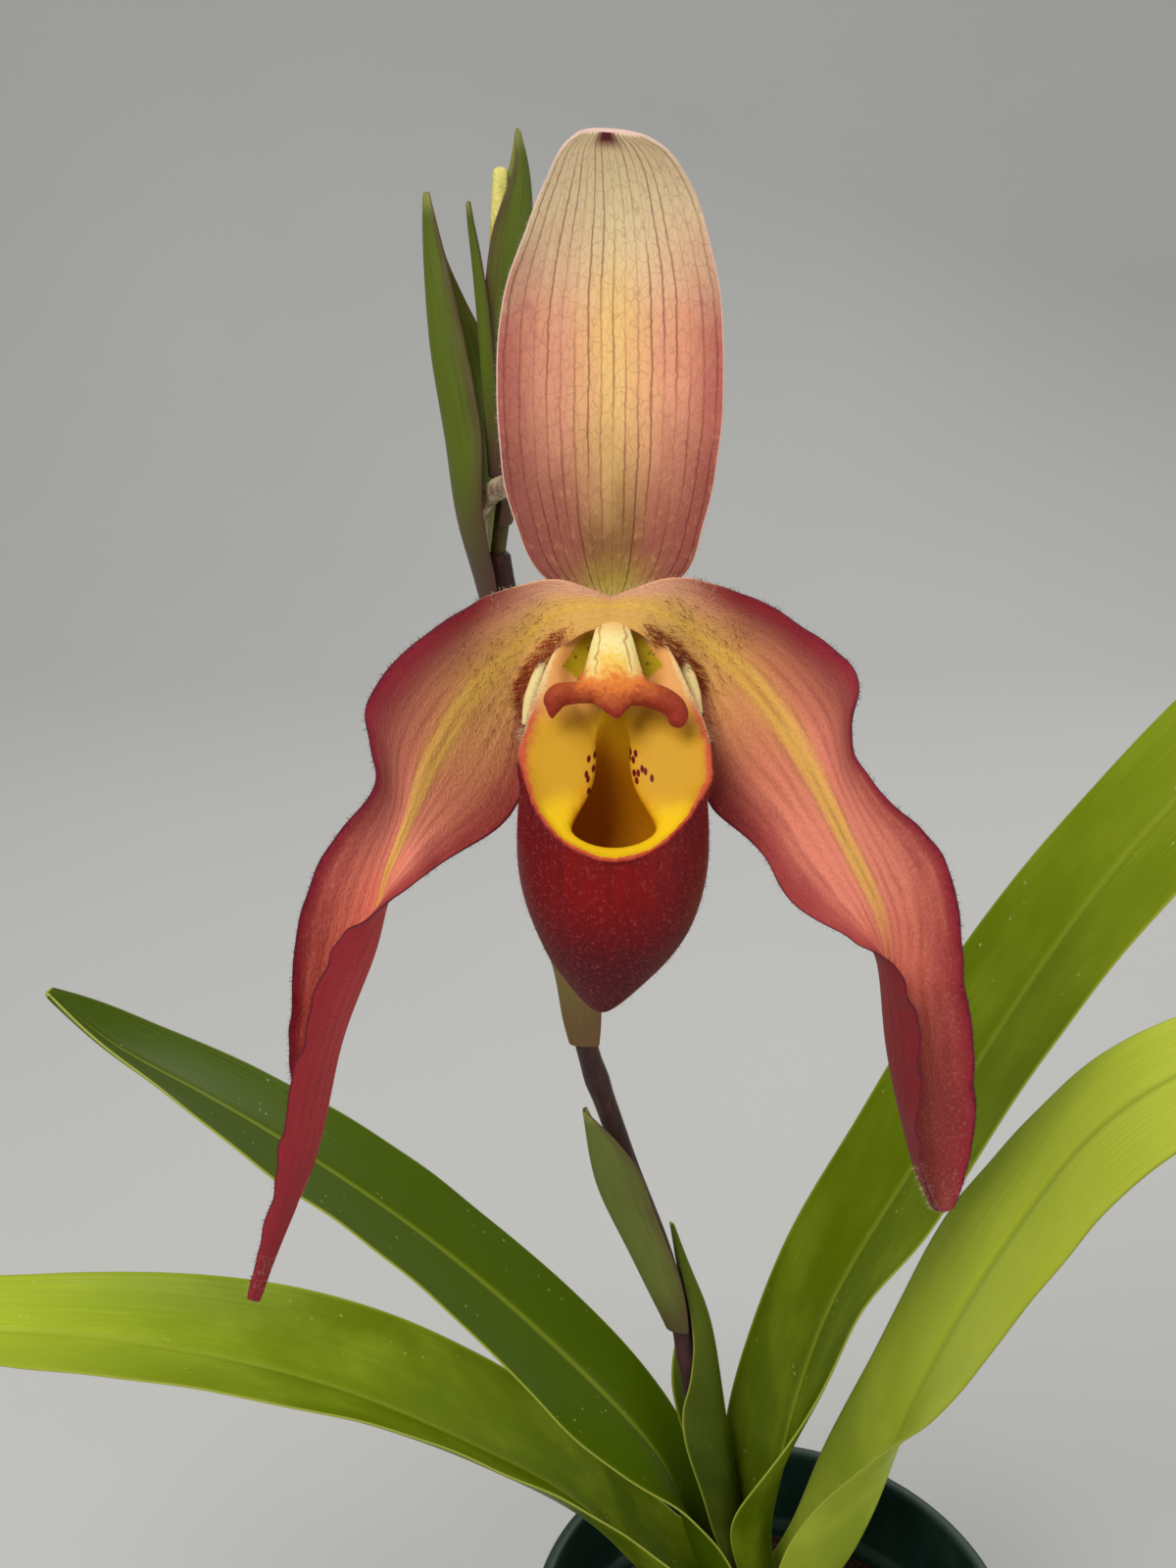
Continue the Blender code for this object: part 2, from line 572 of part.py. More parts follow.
def petals(finish):
    """The two long petals, which spread, hang and roll forward along their lower edge."""
    left = [
        ((-44.1, -93.0, 390.2), (-45.6, -92.8, 387.2), (-44.7, -93.8, 383.0)),
        ((-52.9, -97.0, 389.9), (-54.4, -94.4, 380.6), (-55.0, -95.6, 373.0)),
        ((-62.2, -101.4, 387.6), (-61.8, -98.0, 375.4), (-56.6, -98.0, 363.0)),
        ((-69.7, -104.0, 382.3), (-65.5, -101.6, 369.8), (-58.4, -102.4, 357.8)),
        ((-74.3, -107.0, 375.6), (-68.0, -104.6, 364.7), (-64.2, -107.0, 355.4)),
        ((-73.0, -108.4, 368.0), (-70.0, -106.6, 359.4), (-69.6, -111.6, 353.0)),
        ((-77.3, -109.6, 361.0), (-72.4, -107.6, 352.6), (-74.4, -114.8, 350.6)),
        ((-82.5, -110.4, 352.6), (-74.2, -108.0, 344.6), (-77.8, -117.0, 347.6)),
        ((-84.9, -110.8, 341.9), (-76.9, -108.0, 336.8), (-80.0, -117.8, 342.6)),
        ((-86.2, -110.6, 330.6), (-80.0, -108.0, 328.2), (-82.8, -117.6, 333.6)),
        ((-86.6, -110.0, 319.7), (-82.4, -108.0, 318.0), (-86.1, -116.4, 323.0)),
        ((-87.6, -109.2, 308.8), (-85.4, -108.0, 307.8), (-88.8, -114.6, 311.6)),
        ((-90.4, -109.2, 299.0), (-89.2, -109.0, 298.6), (-91.6, -112.8, 301.0)),
        ((-94.0, -110.2, 288.0), (-93.8, -110.2, 287.6), (-94.8, -111.4, 289.0)),
    ]
    right = [
        ((-41.5, -93.0, 390.2), (-40.0, -92.8, 387.2), (-40.9, -93.8, 383.0)),
        ((-33.4, -97.0, 390.2), (-31.4, -94.4, 381.4), (-30.8, -95.6, 374.4)),
        ((-24.2, -101.4, 388.5), (-24.8, -98.0, 377.9), (-29.2, -98.0, 363.6)),
        ((-15.8, -104.0, 384.0), (-20.5, -101.6, 373.1), (-26.6, -102.4, 358.4)),
        ((-11.5, -106.4, 378.6), (-17.2, -104.6, 368.0), (-22.6, -106.0, 355.0)),
        ((-12.1, -107.6, 372.0), (-14.6, -106.4, 363.2), (-20.0, -107.6, 350.4)),
        ((-8.6, -108.8, 366.0), (-11.8, -107.4, 357.2), (-15.6, -109.4, 347.4)),
        ((-2.6, -109.8, 360.4), (-8.6, -107.8, 350.6), (-10.0, -112.6, 345.4)),
        ((1.2, -110.6, 354.6), (-6.4, -107.6, 344.8), (-6.2, -114.4, 343.0)),
        ((2.7, -111.4, 346.4), (-5.2, -107.0, 337.2), (-3.6, -115.2, 338.0)),
        ((4.6, -112.0, 335.0), (-4.2, -106.6, 328.4), (-2.2, -115.2, 330.6)),
        ((6.4, -112.0, 322.4), (-2.0, -107.2, 317.8), (-1.8, -115.0, 321.8)),
        ((6.6, -111.2, 311.0), (0.8, -108.2, 308.4), (-0.6, -113.8, 313.4)),
        ((5.4, -110.4, 303.6), (3.6, -109.8, 302.6), (2.0, -112.0, 305.6)),
    ]
    blade("petal_left", left, finish, PETAL_THICKNESS, 36, 6)
    blade("petal_right", right, finish, PETAL_THICKNESS, 36, 6)


def pouch_ring(centre_y, height, half_width, half_depth, rise):
    """One oval ring of the pouch, round from the front, which rises to the back."""
    ring = []
    for step in range(POUCH_SIDES):
        angle = math.tau * step / POUCH_SIDES
        x = half_width * math.sin(angle)
        y = -half_depth * math.cos(angle)
        ring.append(Vector((HUB[0] + x, centre_y + y, height + rise * y)))
    return ring


def pouch_loop(half):
    """Ring that is alike on both sides, through points (half width, y, height) from front to back."""
    mirrored = [(-x, y, z) for x, y, z in half[1:-1]][::-1]
    closed = smooth_curve([mirrored[-1], *half, mirrored[0]], 12 * POUCH_SIDES)
    start = int(np.argmin(np.linalg.norm(closed - np.array(half[0]), axis=1)))
    stop = int(np.argmin(np.linalg.norm(closed - np.array(half[-1]), axis=1)))
    picks = np.linspace(start, stop, POUCH_SIDES // 2 + 1).round().astype(int)
    right = [Vector(closed[pick]) for pick in picks]
    left = [Vector((-p.x, p.y, p.z)) for p in right[1:-1]][::-1]
    return [p + Vector((HUB[0], 0.0, 0.0)) for p in right + left]


def pouch(finish):
    """Hollow slipper, with a rim that slopes to the front and side lobes folded into its mouth."""
    rings = [pouch_ring(*values) for values in POUCH_RINGS]
    mouth = pouch_loop([
        (0.0, -122.2, 361.4),
        (7.6, -118.6, 363.8),
        (11.7, -108.0, 372.0),
        (9.0, -101.0, 378.2),
        (5.6, -97.4, 381.3),
        (0.0, -95.6, 381.6),
    ])
    throat = pouch_loop([
        (0.0, -117.4, 359.4),
        (5.2, -115.6, 360.4),
        (3.6, -109.4, 365.4),
        (2.0, -104.4, 370.0),
        (0.0, -102.6, 371.4),
    ])
    funnel = [a.lerp(b, 0.55) - Vector((0, 0, 0.6)) for a, b in zip(mouth, throat)]
    rim = [a + (Vector((HUB[0], POUCH_AXIS_Y, a.z)) - a).normalized() * POUCH_WALL for a in mouth]
    inside = []
    wall = POUCH_WALL * 1.1
    for centre_y, height, half_width, half_depth, rise in reversed(POUCH_RINGS[1:6]):
        inside.append(pouch_ring(centre_y, height + wall * 0.4, half_width - wall, half_depth - wall, rise))
    under = [a.lerp(b, 0.14) - Vector((0, 0, 1.0)) for a, b in zip(throat, inside[0])]
    loops = rings + [mouth, rim, funnel, throat, under] + inside
    bm = bmesh.new()
    loops = [[bm.verts.new(point) for point in loop] for loop in loops]
    for low, high in zip(loops, loops[1:]):
        for i in range(POUCH_SIDES):
            k = (i + 1) % POUCH_SIDES
            bm.faces.new((low[i], low[k], high[k]))
            bm.faces.new((low[i], high[k], high[i]))
    for loop in (loops[0], loops[-1]):
        middle = bm.verts.new(sum((v.co for v in loop), Vector()) / POUCH_SIDES + Vector((0, 0, -0.6)))
        for i in range(POUCH_SIDES):
            bm.faces.new((loop[i], loop[(i + 1) % POUCH_SIDES], middle))
    bmesh.ops.recalc_face_normals(bm, faces=bm.faces)
    return add_object("pouch", bm, finish, 60.0)


def column(finish):
    """The column, with its shield over the pouch's mouth, two horns and an anther on each side."""
    outline = [
        (-1.8, 386.0), (1.8, 386.0), (2.8, 383.0), (2.8, 380.4), (4.4, 379.4), (7.2, 379.0),
        (8.9, 377.4), (8.7, 375.4), (6.6, 375.9), (4.4, 376.6), (2.0, 375.6), (0.2, 374.6),
        (-1.8, 375.6), (-4.0, 376.9), (-6.4, 376.3), (-7.9, 375.4), (-9.3, 377.4), (-9.5, 379.2),
        (-7.6, 379.0), (-4.6, 379.2), (-2.8, 380.4), (-2.8, 383.0),
    ]
    bm = bmesh.new()
    top_y, top_z = SHIELD_TOP
    front = [bm.verts.new((HUB[0] + x, top_y - (top_z - z) * SHIELD_LEAN, z)) for x, z in outline]
    face = bm.faces.new(front)
    grown = bmesh.ops.extrude_face_region(bm, geom=[face])["geom"]
    for vert in (item for item in grown if isinstance(item, bmesh.types.BMVert)):
        vert.co += Vector(SHIELD_DEPTH)
    bmesh.ops.recalc_face_normals(bm, faces=bm.faces)
    shield = add_object("column", bm, finish, 50.0)
    axis = Vector(COLUMN_AXIS).normalized()
    start = Vector(HUB) - Vector((0.0, COLUMN_START, 0.0))
    turn = Vector((0, 0, 1)).rotation_difference(axis).to_matrix().to_4x4()
    place = Matrix.Translation(start + axis * COLUMN_LENGTH / 2) @ turn
    foot, tip = COLUMN_RADII
    bm = bmesh.new()
    bmesh.ops.create_cone(
        bm, cap_ends=True, segments=14, radius1=foot, radius2=tip, depth=COLUMN_LENGTH, matrix=place
    )
    pieces = [add_object("column_body", bm, finish)]
    offset, y, z = ANTHER_PLACE
    for side in (-1, 1):
        bm = bmesh.new()
        knob = Matrix.Translation((HUB[0] + side * offset, y, z))
        bmesh.ops.create_icosphere(bm, subdivisions=2, radius=ANTHER_RADIUS, matrix=knob)
        pieces.append(add_object(f"anther_{side}", bm, finish))
    return apply_boolean(shield, "UNION", pieces)


def build():
    """Model every piece of the plant and its pot."""
    clear_scene()
    plastic = material("pot plastic", (0.012, 0.05, 0.035), 0.45)
    bark = material("bark", (0.16, 0.07, 0.035), 0.9)
    leaf = material("leaf", (0.17, 0.26, 0.02), 0.35)
    young_leaf = material("young leaf", (0.24, 0.3, 0.04), 0.4)
    stem = material("stem", (0.09, 0.03, 0.02), 0.55)
    bract = material("bract", (0.16, 0.19, 0.04), 0.45)
    ovary = material("ovary", (0.5, 0.42, 0.28), 0.6)
    bud = material("bud", (0.4, 0.4, 0.05), 0.55)
    sepal = material("sepal", (0.62, 0.3, 0.16), 0.5)
    petal = material("petal", (0.6, 0.13, 0.09), 0.5)
    pouch_finish = material("pouch", (0.35, 0.02, 0.015), 0.45)
    column_finish = material("column", (0.7, 0.32, 0.08), 0.55)
    pot(plastic)
    potting_mix(bark)
    leaves(leaf, young_leaf)
    stalk_bracts(bract)
    top_bracts(bract)
    flower_stalk(stem, ovary, bud)
    sepals(sepal)
    petals(petal)
    pouch(pouch_finish)
    column(column_finish)


build()
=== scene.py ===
"""Looks of a potted slipper orchid: pot, bark, leaf fan, flower stalk and one open flower.

Sizes that shape a piece are in millimetres in the part's own frame, with the pot's base at the
origin, +Z up and the flower facing -Y. They become metres as each mesh is made.
"""

import logging
import math
import random
from dataclasses import dataclass, field
from enum import Enum
from typing import Callable, Optional, Sequence, Union

import bpy
import numpy as np
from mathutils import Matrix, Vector


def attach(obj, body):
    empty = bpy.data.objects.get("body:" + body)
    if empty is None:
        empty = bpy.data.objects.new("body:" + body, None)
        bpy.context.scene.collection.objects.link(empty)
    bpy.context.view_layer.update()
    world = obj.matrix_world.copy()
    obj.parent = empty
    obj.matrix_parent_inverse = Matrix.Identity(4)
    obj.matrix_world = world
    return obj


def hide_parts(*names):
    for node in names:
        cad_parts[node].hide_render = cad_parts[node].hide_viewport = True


Colour = tuple[float, float, float]
Point = tuple[float, float, float]
Station = tuple[Point, Point, Point]
Socket = bpy.types.NodeSocket
Value = Union[float, Socket]
Paint = Union[Socket, Colour]
Relief = Callable[[np.ndarray, np.ndarray], np.ndarray]
Spans = tuple[tuple[float, float], ...]

MM = 0.001
BODY = "root"
LOG = logging.getLogger("orchid")

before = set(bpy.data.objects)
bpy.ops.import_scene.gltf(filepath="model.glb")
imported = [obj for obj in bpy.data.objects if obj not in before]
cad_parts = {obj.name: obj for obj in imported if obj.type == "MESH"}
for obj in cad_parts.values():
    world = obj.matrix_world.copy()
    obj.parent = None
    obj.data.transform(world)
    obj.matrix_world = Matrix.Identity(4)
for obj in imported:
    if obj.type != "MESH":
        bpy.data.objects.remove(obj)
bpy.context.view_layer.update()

HUB_X = -42.8


def tint(red: int, green: int, blue: int) -> Colour:
    """Turn a screen colour of 0 to 255 into the linear colour that a shader takes.

    Args:
        red: red share of the screen colour.
        green: green share.
        blue: blue share.

    Returns:
        The linear colour.
    """
    shares = (value / 255.0 for value in (red, green, blue))
    return tuple(((s + 0.055) / 1.055) ** 2.4 if s > 0.04045 else s / 12.92 for s in shares)


class Blend(Enum):
    """How one colour is laid over another."""

    OVER = "MIX"
    # Multiplies one colour over another; used here only to paint shade.
    MULTIPLY_SHADE = "MULTIPLY"


class Recipe:
    """One procedural material, with short calls for the nodes that its pattern needs."""

    def __init__(self, name: str, roughness: float = 0.5, **sockets: float) -> None:
        """Start a material.

        Args:
            name: the material's name.
            roughness: how dull the surface is.
            **sockets: other values of the shader, by socket name with _ for a space.
        """
        self.material = bpy.data.materials.new(name)
        self.material.use_nodes = True
        self.tree = self.material.node_tree
        self.shader = self.tree.nodes["Principled BSDF"]
        self.shader.inputs["Roughness"].default_value = roughness
        self.shader.inputs["Specular IOR Level"].default_value = 0.28
        for label, value in sockets.items():
            self.shader.inputs[label.replace("_", " ")].default_value = value

    def add(self, kind: str, **settings: object) -> bpy.types.Node:
        """Add a node and set its properties.

        Args:
            kind: the node's type name without ShaderNode.
            **settings: properties of the node.

        Returns:
            The new node.
        """
        node = self.tree.nodes.new("ShaderNode" + kind)
        for label, value in settings.items():
            setattr(node, label, value)
        return node

    def feed(self, socket: Socket, value: Union[Value, Colour]) -> None:
        """Link a socket to an input, or set the input to a plain value."""
        if isinstance(value, bpy.types.NodeSocket):
            self.tree.links.new(value, socket)
        elif isinstance(value, tuple) and len(socket.default_value) == 4:
            socket.default_value = (*value, 1.0)
        else:
            socket.default_value = value

    def calc(self, operation: str, *values: Value, clamp: bool = False) -> Socket:
        """One step of arithmetic.

        Args:
            operation: the Math node's operation.
            *values: numbers or sockets, in order.
            clamp: whether the result is kept from 0 to 1.

        Returns:
            The result's socket.
        """
        node = self.add("Math", operation=operation, use_clamp=clamp)
        for socket, value in zip(node.inputs, values):
            self.feed(socket, value)
        return node.outputs[0]

    def step(self, value: Value, low: float, high: float) -> Socket:
        """Smooth step that is 0 at low and 1 at high, or the other way if low is larger."""
        node = self.add("MapRange", interpolation_type="SMOOTHSTEP", clamp=True)
        self.feed(node.inputs[0], value)
        turned = low > high
        ends = (high, low, 1.0, 0.0) if turned else (low, high, 0.0, 1.0)
        for place, number in zip((1, 2, 3, 4), ends):
            node.inputs[place].default_value = number
        return node.outputs[0]

    def uv(self) -> tuple[Socket, Socket]:
        """Shares of the way across and along the piece, from its UV map."""
        split = self.add("SeparateXYZ")
        self.tree.links.new(self.add("UVMap", uv_map="UVMap").outputs[0], split.inputs[0])
        return split.outputs[0], split.outputs[1]

    def place(self) -> Socket:
        """The point's own place in the part's frame."""
        return self.add("TexCoord").outputs["Object"]

    def axes(self) -> tuple[Socket, Socket, Socket]:
        """The point's x, y and z in the part's frame, in metres."""
        split = self.add("SeparateXYZ")
        self.tree.links.new(self.place(), split.inputs[0])
        return tuple(split.outputs)

    def height(self) -> Socket:
        """The point's height over the pot's base, in metres."""
        return self.axes()[2]

    def nudge(self, value: Value, by: Socket, reach: float) -> Socket:
        """Shift a value up or down by a noise."""
        return self.calc("MULTIPLY_ADD", self.calc("SUBTRACT", by, 0.5), reach, value)

    def sheet_noise(self, across: float, along: float, detail: float = 3.0) -> Socket:
        """Noise on a sheet, with this many soft cells across it and along it."""
        u, v = self.uv()
        at = self.vector(self.calc("MULTIPLY", u, across), self.calc("MULTIPLY", v, along))
        return self.noise(at, 1.0, detail)

    def vein_tone(self, across: Value, along: Value, count: float) -> Socket:
        """Noise that differs from one vein to the next and drifts slowly along each."""
        index = self.calc("FLOOR", self.calc("MULTIPLY", across, count))
        at = self.vector(self.calc("MULTIPLY", index, 3.7), self.calc("MULTIPLY", along, 2.2))
        return self.noise(at, 1.0, 1.0)

    def spots(self, places: Sequence[tuple[float, float]], radius: float, tall: float) -> Socket:
        """Mask of small upright spots.

        Args:
            places: x and z of each spot, in millimetres.
            radius: half the width of a spot, in millimetres.
            tall: how many times taller than wide it is.

        Returns:
            A socket that is 1 inside a spot.
        """
        x, _, z = self.axes()
        nearest: Value = 9.0
        for at_x, at_z in places:
            wide = self.calc("DIVIDE", self.calc("SUBTRACT", x, at_x * MM), radius * MM)
            high = self.calc("DIVIDE", self.calc("SUBTRACT", z, at_z * MM), radius * tall * MM)
            both = self.calc("ADD", self.calc("MULTIPLY", wide, wide), self.calc("MULTIPLY", high, high))
            nearest = self.calc("MINIMUM", nearest, both)
        return self.step(nearest, 1.5, 0.6)

    def vector(self, x: Value, y: Value, z: Value = 0.0) -> Socket:
        """A vector of three values."""
        node = self.add("CombineXYZ")
        for socket, value in zip(node.inputs, (x, y, z)):
            self.feed(socket, value)
        return node.outputs[0]

    def noise(self, at: Socket, scale: float, detail: float = 3.0, distortion: float = 0.0) -> Socket:
        """Soft noise about 0.5.

        Args:
            at: the vector that the noise is read at.
            scale: how fine it is.
            detail: how many finer layers it has.
            distortion: how far it is warped.

        Returns:
            The noise's value socket.
        """
        node = self.add("TexNoise")
        self.feed(node.inputs["Vector"], at)
        node.inputs["Scale"].default_value = scale
        node.inputs["Detail"].default_value = detail
        node.inputs["Distortion"].default_value = distortion
        return node.outputs[0]

    def cells(self, at: Socket, scale: float, edges: bool = False) -> Socket:
        """Distance to the nearest cell centre, or to the nearest cell wall, of a random net."""
        node = self.add("TexVoronoi", feature="DISTANCE_TO_EDGE" if edges else "F1")
        self.feed(node.inputs["Vector"], at)
        node.inputs["Scale"].default_value = scale
        return node.outputs["Distance"]

    def ramp(self, value: Value, stops: Sequence[tuple[float, Colour]]) -> Socket:
        """Colours along a value.

        Args:
            value: what the colours run along, from 0 to 1.
            stops: places and colours, in order.

        Returns:
            The colour socket.
        """
        node = self.add("ValToRGB")
        node.color_ramp.interpolation = "EASE"
        elements = node.color_ramp.elements
        while len(elements) < len(stops):
            elements.new(1.0)
        for element, (at, colour) in zip(elements, stops):
            element.position = at
            element.color = (*colour, 1.0)
        self.feed(node.inputs[0], value)
        return node.outputs[0]

    def mix(self, share: Value, under: Paint, over: Paint, how: Blend = Blend.OVER) -> Socket:
        """Lay one colour over another.

        Args:
            share: how much of the upper colour shows.
            under: the lower colour.
            over: the upper colour.
            how: the way they are mixed.

        Returns:
            The mixed colour's socket.
        """
        node = self.add("Mix", data_type="RGBA", blend_type=how.value, clamp_factor=True)
        self.feed(node.inputs[0], share)
        self.feed(node.inputs[6], under)
        self.feed(node.inputs[7], over)
        return node.outputs[2]

    def lay(self, under: Paint, over: Paint, mask: Socket, share: float, how: Blend = Blend.OVER) -> Socket:
        """Lay one colour over another inside a mask, at this share of its full strength."""
        return self.mix(self.calc("MULTIPLY", mask, share), under, over, how)

    def both(self, *masks: Value) -> Socket:
        """Mask that is 1 only where all of the masks are."""
        joined = masks[0]
        for mask in masks[1:]:
            joined = self.calc("MULTIPLY", joined, mask)
        return joined

    def off_rib(self, across: Value) -> Socket:
        """How far a place is from the rib, as 0 on it and 1 at either edge."""
        return self.calc("ABSOLUTE", self.calc("MULTIPLY_ADD", across, 2.0, -1.0))

    def lines(self, across: Value, count: float, half_width: Value) -> Socket:
        """Thin lines at even steps of a value, as a mask that is 1 on each line."""
        spot = self.calc("FRACT", self.calc("MULTIPLY", across, count))
        away = self.calc("ABSOLUTE", self.calc("SUBTRACT", spot, 0.5))
        return self.calc("SUBTRACT", 1.0, self.calc("DIVIDE", away, half_width), clamp=True)

    def finish(self, colour: Paint, bump: Optional[Socket] = None, depth: float = 0.0) -> None:
        """Give the shader its colour and, where there is one, its fine relief.

        Args:
            colour: base colour.
            bump: height of the fine relief, from 0 to 1.
            depth: how deep that relief is, in metres.
        """
        self.feed(self.shader.inputs["Base Color"], colour)
        if bump is not None:
            node = self.add("Bump")
            node.inputs["Strength"].default_value = 1.0
            node.inputs["Distance"].default_value = depth
            self.feed(node.inputs["Height"], bump)
            self.tree.links.new(node.outputs[0], self.shader.inputs["Normal"])

    def rough(self, socket: Socket) -> None:
        """Let the roughness follow a pattern."""
        self.feed(self.shader.inputs["Roughness"], socket)


@dataclass(frozen=True)
class HoodFinish:
    """Front or back of the hooded sepal: cream and pink with long maroon veins."""

    name: str
    centre: Colour
    side: Colour
    deep: Colour
    vein: Colour
    base: Colour
    tip: Colour
    veins: int = 17
    vein_strength: float = 0.66
    # Paler cream of the top: partly its own colour, partly painted light.
    top: Colour = tint(255, 236, 188)
    # Colour multiplied over the lower part as painted shade.
    dusk: Colour = (0.24, 0.16, 0.1)

    def make(self) -> bpy.types.Material:
        """Return the material."""
        recipe = Recipe(self.name, 0.55, Subsurface_Weight=0.1, Sheen_Weight=0.04)
        recipe.shader.inputs["Subsurface Radius"].default_value = (0.004, 0.0015, 0.001)
        across, along = recipe.uv()
        sway = recipe.sheet_noise(6.0, 7.0)
        bent = recipe.nudge(recipe.nudge(across, sway, 0.03), recipe.sheet_noise(22.0, 70.0, 3.0), 0.013)
        away = recipe.off_rib(bent)
        mottle = recipe.sheet_noise(26.0, 34.0, 5.0)
        cloud = recipe.sheet_noise(5.0, 6.0, 2.0)
        reach = recipe.nudge(recipe.nudge(away, mottle, 0.24), cloud, 0.28)
        warm = _between(self.centre, self.side, 0.45)
        body = recipe.ramp(reach, [(0.04, self.centre), (0.24, warm), (0.52, self.side), (1.0, self.deep)])
        level = recipe.nudge(along, cloud, 0.2)
        # The top is laid paler: partly its own cream, partly painted light where the forward curl is shaded.
        body = recipe.lay(body, self.top, recipe.step(level, 0.55, 0.88), 0.85)
        # Painted shade: the lower part darkens towards its foot, and its sides darken most.
        low = recipe.step(level, 0.5, 0.14)
        body = recipe.lay(body, self.dusk, low, 0.9, Blend.MULTIPLY_SHADE)
        body = recipe.lay(body, self.deep, recipe.both(low, recipe.step(away, 0.15, 0.5)), 0.45)
        foot = recipe.both(recipe.step(along, 0.17, 0.03), recipe.step(away, 0.95, 0.2))
        body = recipe.mix(foot, body, self.base)
        body = recipe.lay(body, self.centre, recipe.step(mottle, 0.52, 0.72), 0.17)
        net_at = recipe.vector(recipe.calc("MULTIPLY", bent, 30.0), recipe.calc("MULTIPLY", along, 34.0))
        net = recipe.step(recipe.cells(net_at, 1.0, edges=True), 0.07, 0.0)
        body = recipe.lay(body, self.vein, net, 0.24)
        strong = recipe.step(recipe.vein_tone(bent, along, self.veins), 0.38, 0.6)
        strong = recipe.calc("MULTIPLY_ADD", strong, 0.66, 0.3)
        wide = recipe.calc("MULTIPLY_ADD", recipe.noise(net_at, 1.2, 3.0), 0.16, 0.03)
        vein = recipe.both(recipe.lines(bent, self.veins, wide), strong, self.vein_strength)
        body = recipe.mix(vein, body, self.vein)
        spot = recipe.both(recipe.step(along, 0.935, 0.98), recipe.step(away, 0.42, 0.08))
        body = recipe.mix(spot, body, self.tip)
        recipe.finish(body, recipe.calc("SUBTRACT", mottle, vein), 0.0002)
        return recipe.material


def _between(low: Colour, high: Colour, share: float) -> Colour:
    """The colour this share of the way from low to high."""
    return tuple(a + (b - a) * share for a, b in zip(low, high))


@dataclass(frozen=True)
class PetalFinish:
    """One face of a long petal: yellow at its foot, salmon along it and red at its margins and tip."""

    name: str
    foot: Colour
    middle: Colour
    margin: Colour
    tip: Colour
    rib: Colour
    vein: Colour
    low: Colour
    blush: Colour
    hem: Colour = tint(150, 34, 52)
    dusk: Colour = tint(122, 50, 50)
    thread: Colour = tint(92, 16, 38)
    veins: int = 13
    vein_strength: float = 0.42

    def make(self) -> bpy.types.Material:
        """Return the material."""
        recipe = Recipe(self.name, 0.55, Subsurface_Weight=0.1, Sheen_Weight=0.02, Specular_IOR_Level=0.16)
        recipe.shader.inputs["Subsurface Radius"].default_value = (0.004, 0.0012, 0.001)
        across, along = recipe.uv()
        bent = recipe.nudge(across, recipe.sheet_noise(5.0, 9.0), 0.06)
        away = recipe.off_rib(bent)
        streak = recipe.sheet_noise(24.0, 13.0, 3.0)
        grain = recipe.sheet_noise(70.0, 190.0, 3.0)
        cloud = recipe.sheet_noise(4.0, 9.0)
        reach = recipe.nudge(recipe.nudge(away, streak, 0.35), cloud, 0.25)
        lit = recipe.mix(recipe.step(recipe.nudge(along, cloud, 0.1), 0.25, 0.42), self.middle, self.low)
        body = recipe.mix(recipe.step(reach, 0.45, 1.05), lit, self.margin)
        body = recipe.lay(body, self.tip, recipe.step(recipe.nudge(along, cloud, 0.15), 0.52, 0.95), 0.85)
        near = recipe.nudge(recipe.calc("MULTIPLY_ADD", away, 0.1, along), cloud, 0.08)
        foot = recipe.step(near, 0.36, 0.12)
        blush = recipe.mix(recipe.step(recipe.nudge(across, cloud, 0.1), 0.38, 0.08), self.foot, self.blush)
        body = recipe.mix(foot, body, blush)
        stripe = recipe.step(recipe.nudge(away, streak, 0.1), 0.24, 0.03)
        body = recipe.lay(body, self.rib, recipe.both(stripe, recipe.step(along, 0.66, 0.5)), 0.8)
        shown = recipe.calc("MULTIPLY_ADD", recipe.step(recipe.sheet_noise(14.0, 10.0), 0.38, 0.62), 0.7, 0.3)
        shown = recipe.both(shown, recipe.step(along, 0.08, 0.26), self.vein_strength)
        wide = recipe.calc("MULTIPLY_ADD", streak, 0.35, 0.2)
        body = recipe.mix(recipe.both(recipe.lines(bent, self.veins, wide), shown), body, self.vein)
        body = recipe.lay(body, self.vein, recipe.step(grain, 0.45, 0.75), 0.2)
        body = recipe.lay(body, self.blush, recipe.step(grain, 0.5, 0.25), 0.2)
        dusk = recipe.both(recipe.step(along, 0.12, 0.22), recipe.step(along, 0.5, 0.36))
        dusk = recipe.both(dusk, recipe.step(recipe.nudge(across, cloud, 0.2), 0.5, 0.1))
        body = recipe.lay(body, self.dusk, dusk, 0.6)
        narrow = recipe.calc("MULTIPLY_ADD", recipe.step(along, 0.28, 0.42), 2.2, 1.0)
        outer = recipe.step(recipe.calc("MULTIPLY", recipe.nudge(across, cloud, 0.08), narrow), 0.22, 0.02)
        body = recipe.lay(body, self.hem, recipe.both(outer, recipe.step(along, 0.08, 0.2)), 0.85)
        inner = recipe.step(recipe.nudge(across, cloud, 0.14), 0.8, 1.0)
        body = recipe.lay(body, self.margin, recipe.both(inner, recipe.step(along, 0.05, 0.14)), 0.7)
        line = recipe.both(recipe.step(recipe.off_rib(across), 0.97, 1.0), recipe.step(along, 0.1, 0.22))
        body = recipe.lay(body, self.thread, line, 0.7)
        recipe.finish(body, recipe.calc("ADD", grain, streak), 0.00016)
        return recipe.material


